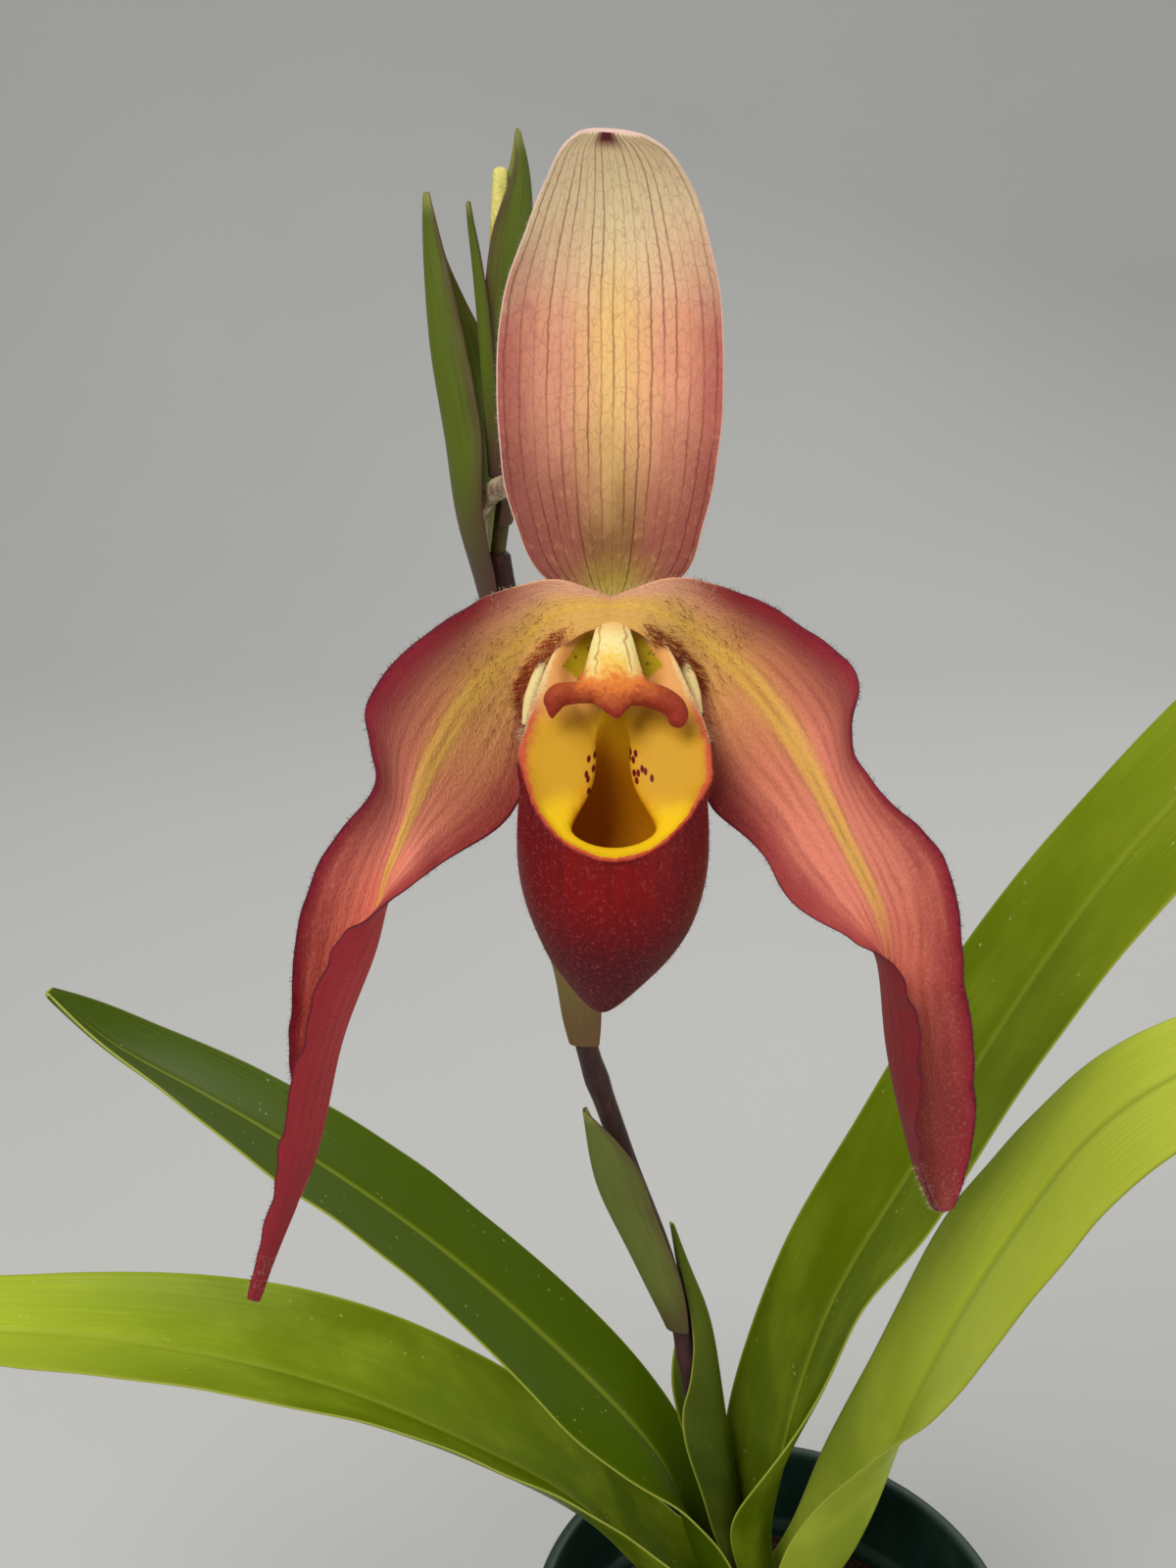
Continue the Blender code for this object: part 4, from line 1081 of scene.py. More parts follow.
@dataclass
class Down:
    """A coat of fine hairs on a piece."""

    name: str
    slot: str
    finish: bpy.types.Material
    count: int
    length: tuple[float, float]
    radius: float = 0.045
    droop: float = 0.25
    tangle: float = 0.35
    seed: int = 5
    lean: Point = (0.0, 0.0, 0.0)

    def build(self, source: bpy.types.Object, wanted: Callable[..., np.ndarray]) -> bpy.types.Object:
        """Grow the hairs.

        Args:
            source: the piece that they grow on.
            wanted: gives each face's share of hairs from its centre, normal and UV place.

        Returns:
            The hairs as one object.
        """
        rng = np.random.default_rng(self.seed)
        mesh = source.data
        total = len(mesh.polygons)
        centre, normal = np.empty(3 * total), np.empty(3 * total)
        area, start = np.empty(total), np.empty(total, dtype=int)
        mesh.polygons.foreach_get("center", centre)
        mesh.polygons.foreach_get("normal", normal)
        mesh.polygons.foreach_get("area", area)
        mesh.polygons.foreach_get("loop_start", start)
        uv = np.zeros(2 * len(mesh.loops))
        if mesh.uv_layers.active:
            mesh.uv_layers.active.data.foreach_get("uv", uv)
        uv = uv.reshape(-1, 2)[start]
        centre, normal = centre.reshape(-1, 3) / MM, normal.reshape(-1, 3)
        share = np.clip(wanted(centre, normal, uv), 0.0, None) * area
        pick = rng.choice(total, size=self.count, p=share / share.sum())
        spread = np.sqrt(area[pick])[:, None] / MM * rng.normal(0.0, 0.25, (self.count, 3))
        spread -= normal[pick] * (spread * normal[pick]).sum(axis=1, keepdims=True)
        foot = centre[pick] + spread - 0.04 * normal[pick]
        way = normal[pick] + np.array(self.lean) + rng.normal(0.0, self.tangle, (self.count, 3))
        way /= np.linalg.norm(way, axis=1, keepdims=True)
        length = rng.uniform(*self.length, self.count)[:, None]
        bend = way + np.array([0.0, 0.0, -1.0]) * self.droop * rng.uniform(0.3, 1.5, (self.count, 1))
        bend /= np.linalg.norm(bend, axis=1, keepdims=True)
        middle = foot + way * length * 0.5
        line = np.stack((foot, middle, middle + bend * length * 0.5), axis=1)
        side = np.cross(way, np.array([0.31, 0.52, 0.79]))
        side /= np.linalg.norm(side, axis=1, keepdims=True)
        top = np.cross(side, way)
        angle = np.array([0.0, 2.1, 4.2, 0.0])
        width = np.array([1.0, 0.7, 0.12]) * self.radius
        ring = np.cos(angle)[:, None] * side[:, None] + np.sin(angle)[:, None] * top[:, None]
        hairs = line[:, :, None] + width[None, :, None, None] * ring[:, None]
        return self.model(hairs)

    def model(self, hairs: np.ndarray) -> bpy.types.Object:
        """Repeat one small wrapped sheet for every hair, and lay each copy in its place."""
        rows, columns = hairs.shape[1:3]
        obj = grid_object(self.name, hairs[0])
        places = np.stack(np.meshgrid(range(rows), range(columns), [0], indexing="ij"), axis=-1)
        rough = grid_object("hair_order", places[:, :, 0])
        order = np.empty(3 * rows * columns)
        rough.data.vertices.foreach_get("co", order)
        order = np.rint(order.reshape(-1, 3) / MM).astype(int)
        take(rough)
        bpy.ops.object.delete()
        repeat(obj, hairs[:, order[:, 0], order[:, 1]])
        obj.data.materials.append(self.finish)
        take(obj)
        bpy.ops.object.shade_smooth()
        return register(obj, self.slot)


CROWN_X = -4.0
CROWN_FOOT = 70.0
SHEATH_MID = 86.0
SHEATH_KEEL = 5.0
SHEATH_HALF_WIDTH = 4.2
SHEATH_KEEL_STEP = 3.4
SHEATH_WIDTH_STEP = 2.4
SHEATH_SLIT = 1.1


def sheath(side: int, rank: int, height: float, spread: float = 1.0) -> Station:
    """Station of a leaf's base in the crown.

    Args:
        side: -1 or 1.
        rank: its place outwards from the stem.
        height: over the pot's base.
        spread: how far it opens.

    Returns:
        The station.
    """
    keel = CROWN_X + side * (SHEATH_KEEL + rank * SHEATH_KEEL_STEP) * spread
    edge = CROWN_X + side * SHEATH_SLIT
    half = (SHEATH_HALF_WIDTH + rank * SHEATH_WIDTH_STEP) * spread
    return ((edge, half, height), (keel, 0.0, height), (edge, -half, height))


@dataclass(frozen=True)
class LeafForm:
    """Rails and colours of one leaf."""

    node: str
    stations: list[Station]
    facing: Point
    foot: Colour
    blade: Colour
    tip: Colour
    back: Colour
    thickness: float = 1.3
    along: int = 110
    across: int = 26
    fold: float = 0.5
    seed: int = 3


@dataclass
class LeafFan:
    """The strap leaves and the young one."""

    rib: Colour = tint(150, 164, 44)
    rim: Colour = tint(168, 174, 66)
    slot: str = "leaf"

    def forms(self) -> list[LeafForm]:
        """Return every leaf's form."""
        left_upper = [
            ((-160, 1.4, 280.5), (-161, 0, 280), (-160, -0.8, 280)),
            ((-151, 7, 274), (-150, 0, 269), (-148, -7, 271)),
            ((-139, 12, 265), (-136, 0, 259), (-133, -13, 262)),
            ((-117, 15, 251), (-114, 0, 243), (-111, -17, 244)),
            ((-87, 15, 229), (-86, 0, 220), (-84, -17, 220)),
            ((-60, 14, 204), (-60, 0, 195), (-59, -17, 190)),
            ((-41, 11, 185), (-41, 0, 173), (-42, -15, 168)),
            ((-25, 8, 163), (-26.5, 0, 150), (-25, -11, 150)),
            ((-14.5, 7.8, 136), (-19.5, 0, 126), (-13.4, -8.8, 134)),
            sheath(-1, 1, 104, 1.08),
            sheath(-1, 1, SHEATH_MID),
            sheath(-1, 1, CROWN_FOOT),
        ]
        left_lower = [
            ((-232, 0, 189.5), (-233, -1, 189), (-232, -2, 189.5)),
            ((-222, 7, 194), (-221, -1, 189), (-220, -9, 191)),
            ((-205, 11, 198), (-203, 0, 191), (-201, -12, 194)),
            ((-185, 12, 199), (-182, 0, 192), (-179, -14, 195)),
            ((-143, 14, 198), (-141, 0, 187), (-138, -16, 191)),
            ((-100, 13, 190), (-100, 0, 174), (-98, -16, 181)),
            ((-72, 12, 176), (-71, 0, 158), (-71, -16, 169)),
            ((-47, 10, 157), (-46, 0, 139), (-47, -14, 152)),
            ((-29, 9, 135), (-31, 0, 119), (-29, -11, 135)),
            sheath(-1, 2, 104, 1.08),
            sheath(-1, 2, SHEATH_MID),
            sheath(-1, 2, CROWN_FOOT),
        ]
        right_upper = [
            ((181, 9, 361), (182, 8, 360), (181, 7, 361)),
            ((162, 15, 370), (163, 8, 366), (163, 0, 368)),
            ((130, 19, 372), (133, 6, 366), (134, -8, 366)),
            ((100, 18, 361), (105, 3, 353), (107, -13, 350)),
            ((76, 15, 340), (81, 1, 332), (83, -15, 326)),
            ((55, 15, 313), (60, 0, 304), (62, -16, 299)),
            ((30, 15, 272), (37, 0, 260), (39, -16, 257)),
            ((15, 14, 240), (22, 0, 228), (25, -15, 228)),
            ((1, 12, 211), (10, 0, 200), (13, -14, 207)),
            ((-8, 9, 184), (3, 0, 172), (6, -12, 184)),
            ((-13, 7, 156), (-0.5, 0, 148), (-8, -9, 154)),
            ((-11.8, 6.0, 131), (-1.7, 0, 128), (-11.8, -6.2, 136)),
            sheath(1, 1, 104, 1.08),
            sheath(1, 1, SHEATH_MID),
            sheath(1, 1, CROWN_FOOT),
        ]
        right_lower = [
            ((148, -41, 269), (149, -42, 268), (148, -43, 269)),
            ((131, -31, 284), (132, -38, 280), (132, -46, 281)),
            ((102, -18, 292), (104, -32, 287), (104, -47, 285)),
            ((76, -10, 280), (79, -25, 278), (78, -42, 276)),
            ((61, -4, 265), (61, -19, 260), (62, -35, 256)),
            ((49, 2, 245), (50, -14, 238), (52, -30, 235)),
            ((39, 6, 226), (42, -10, 217), (43, -25, 212)),
            ((30, 9, 202), (35, -5, 193), (34, -20, 190)),
            ((21, 9, 176), (29, -1, 168), (24, -16, 175)),
            ((11, 8, 150), (25, 0, 146), (9, -10, 152)),
            ((4, 8, 126), (18, 0, 124), (-0.5, -9, 131)),
            sheath(1, 2, 104, 1.1),
            sheath(1, 2, SHEATH_MID),
            sheath(1, 2, CROWN_FOOT),
        ]
        young = [
            ((-28.0, -4.8, 226), (-27.6, -5.2, 226), (-28.0, -5.6, 226)),
            ((-26.2, -2.6, 214), (-23.8, -4.6, 215), (-25.4, -6.2, 214)),
            ((-24.6, -0.4, 201), (-19.6, -3.4, 203), (-22.8, -6.6, 201)),
            ((-26.4, 2.0, 182), (-16.4, -2.0, 186), (-22.6, -6.2, 184)),
            ((-24.8, 3.4, 166), (-14.0, -1.2, 168), (-24.0, -6.2, 170)),
            ((-19.4, 4.6, 147), (-10.4, -0.2, 147), (-19.2, -5.6, 150)),
            ((-13.6, 4.3, 128), (-6.2, 0.0, 126), (-13.6, -4.7, 130)),
            sheath(1, 0, 104, 1.1),
            sheath(1, 0, SHEATH_MID),
            sheath(1, 0, CROWN_FOOT),
        ]
        olive, bright, fresh = tint(74, 96, 0), tint(184, 204, 54), tint(198, 214, 62)
        return [
            LeafForm(
                "leaf_left_upper", left_upper, (0, 0, 1), foot=olive, blade=olive, tip=tint(72, 92, 0),
                back=olive, seed=3,
            ),
            LeafForm(
                "leaf_left_lower", left_lower, (0, 0, 1), foot=tint(84, 102, 0), blade=tint(114, 134, 8),
                tip=bright, back=olive, seed=5,
            ),
            LeafForm(
                "leaf_right_upper", right_upper, (-1, 0, 1), foot=tint(80, 98, 0), blade=tint(106, 126, 0),
                tip=tint(164, 182, 42), back=tint(100, 120, 4), along=130, seed=7,
            ),
            LeafForm(
                "leaf_right_lower", right_lower, (-1, 0, 1), foot=tint(152, 170, 50), blade=fresh,
                tip=tint(226, 236, 92), back=fresh, along=120, seed=9,
            ),
            LeafForm(
                "leaf_young", young, (-1, 0, 0), foot=tint(76, 68, 18), blade=tint(54, 68, 0),
                tip=tint(96, 110, 22), back=tint(58, 72, 6), thickness=0.9, along=90, across=20, fold=0.0,
                seed=11,
            ),
        ]

    def build(self) -> None:
        """Model and dress every leaf."""
        rim = EdgeFinish("leaf rim", self.rim).make()
        dull = _shade(self.rib, 0.8)
        for form in self.forms():
            front = LeafFinish(form.node + " face", form.foot, form.blade, form.tip, self.rib).make()
            back = LeafFinish(form.node + " back", form.foot, form.back, form.tip, dull, 0.42, 0.2).make()
            relief = Ruffle(
                veins=0.02, vein_count=24, groove=0.5, groove_width=0.05, ripple=0.25, ripples=9,
                dents=0.5, seed=form.seed,
            )
            blade = Blade(
                form.node + "_blade", self.slot, form.stations, (front, back, rim), form.facing,
                form.thickness, 0.45, form.fold, form.along, form.across, relief,
            )
            register(blade.build(), self.slot, form.node)


@dataclass
class Stalk:
    """The stem, its bracts, the bud and the ovary."""

    stem_route: tuple[Point, ...] = (
        (CROWN_X, 0, CROWN_FOOT), (-5.5, 0, 95), (-12.2, 0, 128), (-20.8, -2, 173), (-25.2, -4.5, 200),
        (-31.0, -10, 225), (-37.6, -16, 247.5), (-42.4, -21.5, 266), (-46.0, -26.5, 281), (-48.4, -32.5, 300),
        (-51.0, -38, 322), (-54.4, -44, 346), (-57.6, -48.5, 365), (-60.2, -52, 384),
    )
    bud_route: tuple[Point, ...] = (
        (-60.2, -52, 384.9), (-58.4, -51.0, 400), (-58.3, -50.8, 420), (-58.8, -51.4, 440.8),
    )
    ovary_route: tuple[Point, ...] = (
        (-63.0, -52.2, 387), (-62.8, -53.6, 392), (-59.8, -56.8, 395.4), (-50.8, -71, 395.4),
        (-42.8, -88.6, 387.6),
    )
    hairy_above: float = 190.0

    def bracts(self) -> dict[str, list[Station]]:
        """Return every bract's stations."""
        return {
            "bract_lower": [
                ((-46.2, -29.2, 270), (-46.8, -29.8, 270), (-46.6, -30.8, 270)),
                ((-42.4, -21.6, 256), (-45.0, -25.6, 256), (-37.2, -25.8, 256)),
                ((-38.2, -11.4, 238), (-41.4, -18.0, 238.5), (-31.9, -18.4, 238)),
                ((-31.0, -6.2, 222), (-36.0, -12.0, 221.5), (-27.2, -13.8, 222)),
                ((-27.0, -1.8, 206), (-30.6, -6.8, 205.5), (-24.0, -9.4, 206)),
                ((-25.0, -1.4, 197.5), (-27.8, -4.6, 197), (-23.2, -7.2, 197.5)),
            ],
            "bract_middle": [
                ((-57.6, -37.0, 330), (-58.0, -37.8, 330), (-57.6, -38.6, 330)),
                ((-54.2, -31.0, 317), (-56.2, -35.8, 317), (-51.8, -40.0, 317)),
                ((-49.6, -28.4, 303), (-52.2, -33.2, 303), (-44.8, -37.0, 303)),
                ((-47.2, -26.2, 292), (-50.6, -30.6, 291), (-43.4, -33.0, 292)),
                ((-45.6, -25.0, 284), (-49.2, -28.4, 283.6), (-43.8, -30.2, 284)),
            ],
            "bract_flower": [
                ((-69.4, -49.6, 438), (-70.0, -50.0, 438), (-69.4, -50.4, 438)),
                ((-67.0, -48.4, 428), (-70.2, -50.6, 428), (-66.8, -53.0, 428)),
                ((-61.6, -45.2, 415), (-69.2, -51.4, 415), (-63.8, -55.4, 415)),
                ((-60.8, -44.2, 402), (-67.6, -52.0, 402), (-62.0, -58.0, 402)),
                ((-60.2, -45.2, 391), (-66.2, -52.4, 391), (-61.8, -58.6, 391)),
                ((-59.6, -46.2, 383), (-64.4, -51.8, 383), (-60.6, -56.6, 383)),
                ((-59.4, -46.6, 377), (-63.0, -50.6, 377), (-60.2, -54.8, 377)),
            ],
            "bract_bud": [
                ((-56.6, -49.8, 446.4), (-56.3, -50.0, 446.7), (-56.6, -50.2, 446.4)),
                ((-57.6, -49.2, 441.5), (-55.2, -50.2, 442), (-56.9, -51.8, 441.5)),
                ((-59.6, -48.2, 435.5), (-54.6, -50.4, 436.5), (-59.1, -53.2, 435.5)),
                ((-61.2, -46.8, 423), (-54.2, -50.8, 423), (-61.4, -54.6, 423)),
                ((-60.8, -46.6, 408), (-54.2, -50.6, 408), (-60.9, -54.8, 408)),
                ((-59.6, -46.8, 396), (-56.6, -50.6, 396), (-59.4, -54.4, 396)),
                ((-60.0, -48.4, 389), (-58.3, -51.2, 389), (-60.0, -54.0, 389)),
            ],
            "bract_small": [
                ((-63.1, -53.8, 436.7), (-63.4, -54.0, 436.7), (-63.2, -54.3, 436.7)),
                ((-61.8, -54.0, 428), (-62.7, -54.8, 428), (-61.4, -55.2, 428)),
                ((-60.8, -54.6, 415), (-61.7, -55.6, 415), (-60.0, -55.8, 415)),
                ((-60.2, -54.8, 403), (-61.2, -55.8, 403), (-59.2, -55.9, 403)),
                ((-60.0, -54.8, 397), (-60.8, -55.8, 397), (-59.0, -55.9, 397)),
            ],
        }

    def build(self) -> None:
        """Model and dress the stem and all that it carries."""
        maroon = tint(44, 18, 20)
        rim = EdgeFinish("bract rim", tint(98, 66, 50)).make()
        inside = BractFinish("bract inside", tint(150, 170, 70), tint(128, 104, 70)).make()
        green = BractFinish("bract green", tint(88, 104, 6), tint(84, 50, 44), 0.42).make()
        brown = BractFinish("bract brown", tint(122, 120, 48), tint(112, 78, 44), 0.7).make()
        lower = BractFinish("bract olive", tint(106, 116, 42), tint(92, 74, 42), 0.22).make()
        outside = {"bract_middle": brown, "bract_lower": lower}
        for number, (node, stations) in enumerate(self.bracts().items()):
            small = node == "bract_small"
            ripple = 0.0 if small else 0.12
            relief = Ruffle(veins=0.03, vein_count=18, ripple=ripple, ripples=7, dents=0.12, seed=20 + number)
            facing = (1, 0, 0) if node == "bract_bud" else (-1, -0.3, 0)
            finishes = (outside.get(node, green), inside, rim)
            blade = Blade(
                node + "_blade", "bract", stations, finishes, facing, thickness=0.8, edge_share=0.5,
                along=70, across=12 if small else 24, relief=relief,
            )
            register(blade.build(), "bract", node)
        self.stalks(maroon)

    def stalks(self, maroon: Colour) -> None:
        """Model the stem, the ovary and the bud, each with its down."""
        joints = ((0.37, 0.3), (0.645, 0.3), (0.97, 0.2))
        forward = (0, 1, 0)
        stem = Tube(list(self.stem_route), (2.3, 2.3, 2.0), steps=180, sides=24, swellings=joints, up=forward)
        stem = stem.build("flower_stem_rod")
        stem.data.materials.append(StalkFinish("stem", tint(70, 34, 34), maroon).make())
        register(stem, "stem", "flower_stem")
        ovary = Tube(
            list(self.ovary_route), (1.5, 1.6, 1.8, 2.2, 2.5, 3.0), steps=70, sides=36,
            ribs=6, rib_height=0.07, up=(0, 0.1, 1),
        )
        ovary = ovary.build("ovary_rod")
        skin = StalkFinish("ovary", tint(196, 180, 146), tint(124, 98, 76), 0.6, 700.0)
        ovary.data.materials.append(skin.make())
        register(ovary, "ovary", "ovary")
        bud = Tube(list(self.bud_route), (1.2, 1.3, 1.9, 2.1, 2.2, 1.1), steps=60, sides=24, up=forward)
        bud = bud.build("bud_rod")
        skin = StalkFinish(
            "bud", tint(232, 222, 126), tint(178, 180, 70), speckle=600.0,
            foot=tint(74, 66, 26), foot_top=0.405,
        )
        bud.data.materials.append(skin.make())
        register(bud, "bud", "bud")
        for slot, source, count, colour, seed in (
            ("stem", stem, 1600, tint(150, 110, 110), 61),
            ("bud", bud, 500, tint(250, 246, 200), 63),
            ("ovary", ovary, 900, tint(224, 212, 190), 62),
        ):
            finish = DownFinish(f"{slot} down", colour).make()
            coat = Down(f"{slot}_down", slot, finish, count, (0.25, 0.55), 0.018, 0.1, 0.4, seed)
            coat.build(source, lambda at, way, uv: 1.0 * (at[:, 2] > self.hairy_above))


@dataclass
class Flower:
    """The open flower: hood, lower sepals, petals, pouch and column."""

    sides: int = 64
    wall: float = 0.9
    toe_lean: float = 0.13
    toe_top: float = 348.0
    flare: float = 1.0
    tooth: float = 0.8
    corners: tuple[tuple[float, float], ...] = ((-54.4, 371.2), (-30.4, 368.6))

    def sepals(self) -> None:
        """Model the hood and the joined lower sepals."""
        hood = [
            ((-46.2, -94.4, 387.6), (-42.8, -94.4, 386.6), (-39.4, -94.4, 387.6)),
            ((-50.4, -95.0, 389.2), (-42.8, -92.9, 388.8), (-35.2, -95.0, 389.2)),
            ((-53.0, -96.2, 391.8), (-42.8, -92.6, 391.8), (-32.9, -96.2, 391.8)),
            ((-54.8, -97.4, 396.4), (-42.8, -93.1, 395.6), (-31.5, -97.4, 396.6)),
            ((-56.9, -98.7, 405.6), (-42.8, -93.6, 404.8), (-29.6, -98.7, 406.0)),
            ((-57.5, -98.9, 416.2), (-42.8, -93.8, 416.0), (-29.1, -98.9, 416.0)),
            ((-55.7, -99.2, 426.8), (-42.8, -94.8, 426.8), (-30.2, -99.2, 427.0)),
            ((-52.8, -100.2, 434.6), (-42.9, -96.8, 434.8), (-32.6, -100.2, 435.0)),
            ((-50.6, -101.6, 439.6), (-43.4, -99.4, 440.4), (-34.8, -101.8, 439.6)),
            ((-49.0, -102.8, 442.2), (-43.8, -101.4, 442.7), (-36.9, -102.9, 441.9)),
            ((-46.8, -103.6, 443.8), (-43.9, -103.0, 444.0), (-39.8, -103.7, 443.4)),
        ]
        lower = [
            ((-45.4, -92.3, 383.4), (-42.8, -91.7, 383.2), (-40.2, -92.3, 383.4)),
            ((-49.8, -93.3, 379.0), (-42.8, -90.4, 378.4), (-35.8, -93.3, 379.0)),
            ((-52.6, -95.0, 370.0), (-42.8, -90.4, 369.4), (-33.0, -95.0, 370.0)),
            ((-51.8, -97.2, 360.0), (-42.8, -92.8, 359.4), (-33.8, -97.2, 360.0)),
            ((-48.4, -99.6, 351.6), (-42.8, -97.4, 350.8), (-37.2, -99.6, 351.6)),
            ((-43.8, -101.6, 346.8), (-42.8, -101.4, 346.6), (-41.8, -101.6, 346.8)),
        ]
        vein, base, spot = tint(134, 48, 46), tint(176, 154, 58), tint(104, 16, 34)
        side, deep = tint(238, 166, 132), tint(190, 104, 92)
        front = HoodFinish("hood face", tint(255, 208, 134), side, deep, vein, base, spot).make()
        back = HoodFinish("hood back", tint(232, 186, 120), side, deep, vein, base, spot, 17, 0.6).make()
        pale = tint(206, 192, 104)
        dull = tint(196, 148, 100)
        under = HoodFinish("lower sepals", pale, dull, deep, vein, base, spot, 17, 0.5, pale).make()
        rim = EdgeFinish("sepal rim", tint(244, 206, 190)).make()
        ahead = (0, -1, 0)
        relief = Ruffle(veins=0.08, vein_count=17, ripple=0.16, ripples=5, dents=0.25, seed=31)
        blade = Blade("hood", "sepal", hood, (front, back, rim), ahead, along=80, across=56, relief=relief)
        piece = register(blade.build(), "sepal", "dorsal_sepal")
        down = DownFinish("sepal down", tint(250, 232, 216)).make()
        coat = Down("hood_down", "sepal", down, 1500, (0.25, 0.6), 0.018, 0.1, 0.5, 71)
        coat.build(piece, lambda at, way, uv: (np.abs(2 * uv[:, 0] - 1) > 0.97) + 0.05 * (way[:, 1] < 0))
        relief = Ruffle(veins=0.08, vein_count=17, ripple=0.15, ripples=4, dents=0.2, seed=33)
        finishes = (under, under, rim)
        blade = Blade("lower_sepals", "sepal", lower, finishes, ahead, along=48, across=32, relief=relief)
        register(blade.build(), "sepal", "synsepal")

    def petals(self) -> None:
        """Model the two long petals."""
        left = [
            ((-42.1, -95.0, 387.3), (-42.1, -96.8, 386.4), (-42.1, -98.2, 384.7)),
            ((-46.0, -96.4, 389.2), (-46.2, -97.2, 386.8), (-46.0, -98.7, 383.9)),
            ((-49.8, -96.9, 390.4), (-50.4, -96.4, 385.6), (-49.6, -98.0, 381.2)),
            ((-54.6, -97.4, 389.9), (-54.8, -95.4, 381.6), (-54.0, -96.8, 374.8)),
            ((-62.2, -101.4, 387.6), (-61.4, -98.2, 375.4), (-54.5, -98.6, 363.2)),
            ((-69.7, -104.0, 382.3), (-65.5, -101.6, 369.8), (-58.0, -102.4, 357.8)),
            ((-74.3, -107.0, 375.6), (-68.0, -104.6, 364.7), (-64.2, -107.0, 355.4)),
            ((-73.0, -108.4, 368.0), (-70.0, -106.6, 359.4), (-69.6, -111.6, 353.0)),
            ((-77.3, -109.6, 361.0), (-72.4, -107.6, 352.6), (-74.4, -114.8, 350.6)),
            ((-82.5, -110.4, 352.6), (-74.2, -108.0, 344.6), (-77.8, -117.0, 347.6)),
            ((-84.9, -110.8, 341.9), (-76.9, -108.0, 336.8), (-80.0, -117.8, 342.6)),
            ((-86.2, -110.6, 330.6), (-80.0, -108.0, 328.2), (-82.8, -117.6, 333.6)),
            ((-86.6, -110.0, 319.7), (-82.4, -108.0, 318.0), (-86.1, -116.4, 323.0)),
            ((-87.6, -109.2, 308.8), (-85.4, -108.0, 307.8), (-88.8, -114.6, 311.6)),
            ((-90.4, -109.2, 299.0), (-89.2, -109.0, 298.6), (-91.6, -112.8, 301.0)),
            ((-94.0, -110.2, 288.0), (-93.8, -110.2, 287.6), (-94.8, -111.4, 289.0)),
        ]
        right = [
            ((-43.9, -95.0, 387.3), (-43.9, -96.8, 386.4), (-43.9, -98.2, 384.7)),
            ((-39.8, -96.4, 389.2), (-39.6, -97.2, 386.8), (-39.8, -98.7, 383.9)),
            ((-36.0, -96.9, 390.5), (-35.4, -96.4, 385.4), (-36.0, -98.0, 380.6)),
            ((-31.4, -97.4, 390.3), (-30.8, -95.4, 381.8), (-31.4, -96.8, 374.8)),
            ((-24.2, -101.4, 388.5), (-24.8, -98.2, 377.9), (-30.9, -98.6, 363.6)),
            ((-15.8, -104.0, 384.0), (-20.5, -101.6, 373.1), (-27.2, -102.4, 358.4)),
            ((-11.5, -106.4, 378.6), (-17.2, -104.6, 368.0), (-22.6, -106.0, 355.0)),
            ((-12.1, -107.6, 372.0), (-14.6, -106.4, 363.2), (-20.0, -107.6, 350.4)),
            ((-8.6, -108.8, 366.0), (-11.8, -107.4, 357.2), (-15.6, -109.4, 347.4)),
            ((-2.6, -109.8, 360.4), (-8.6, -107.8, 350.6), (-10.0, -112.6, 345.4)),
            ((1.2, -110.6, 354.6), (-6.4, -107.6, 344.8), (-6.2, -114.4, 343.0)),
            ((2.7, -111.4, 346.4), (-5.2, -107.0, 337.2), (-3.6, -115.2, 338.0)),
            ((4.6, -112.0, 335.0), (-4.2, -106.6, 328.4), (-2.2, -115.2, 330.6)),
            ((6.4, -112.0, 322.4), (-2.0, -107.2, 317.8), (-1.8, -115.0, 321.8)),
            ((6.6, -111.2, 311.0), (0.8, -108.2, 308.4), (-0.6, -113.8, 313.4)),
            ((5.4, -110.4, 303.6), (3.6, -109.8, 302.6), (2.0, -112.0, 305.6)),
        ]
        rim = EdgeFinish("petal rim", tint(104, 26, 42), tint(232, 178, 132)).make()
        front = PetalFinish(
            "petal face", tint(232, 182, 96), tint(218, 132, 98), tint(166, 62, 62), tint(140, 34, 48),
            tint(236, 190, 84), tint(150, 66, 52), tint(242, 142, 118), tint(236, 176, 140),
        ).make()
        reds = (
            tint(204, 150, 84), tint(190, 62, 60), tint(174, 42, 52), tint(148, 26, 42), tint(196, 84, 68),
            tint(114, 26, 38), tint(190, 60, 62), tint(214, 104, 96), tint(162, 36, 50),
        )
        plain_back = PetalFinish("petal back left", *reds).make()
        # Painted shade: the right petal's back is a darker copy of the left's, as its inner fold lies in
        # shade.
        shaded_back = PetalFinish("petal back right shaded", *(_shade(red, 0.55) for red in reds)).make()
        for side, stations, back, seed in (("left", left, plain_back, 41), ("right", right, shaded_back, 43)):
            relief = Ruffle(
                veins=0.05, vein_count=13, groove=-0.25, groove_width=0.12, ripple=0.3, ripples=17,
                dents=0.3, seed=seed, calm=0.4,
            )
            blade = Blade(
                f"petal_{side}_blade", "petal", stations, (front, back, rim), (0, -1, 0), edge_share=0.35,
                along=130, across=36, relief=relief,
            )
            piece = register(blade.build(), "petal", f"petal_{side}")
            self.petal_hairs(piece, side, seed)

    def petal_hairs(self, piece: bpy.types.Object, side: str, seed: int) -> None:
        """Grow the coarse dark hairs and the pale down of one petal.

        Args:
            piece: the petal.
            side: its side of the flower.
            seed: start of the random draws.
        """
        def near(value: np.ndarray, low: float, high: float) -> np.ndarray:
            """Share that is 1 between two values and fades over a quarter of their span outside."""
            return np.clip(1 - np.maximum(low - value, value - high) / (0.25 * (high - low)), 0, 1)

        def fringed(at: np.ndarray, way: np.ndarray, uv: np.ndarray) -> np.ndarray:
            """Share of the fringe beside the pouch."""
            return near(uv[:, 0], 0.78, 0.96) * near(uv[:, 1], 0.06, 0.13) * (way[:, 1] < 0)

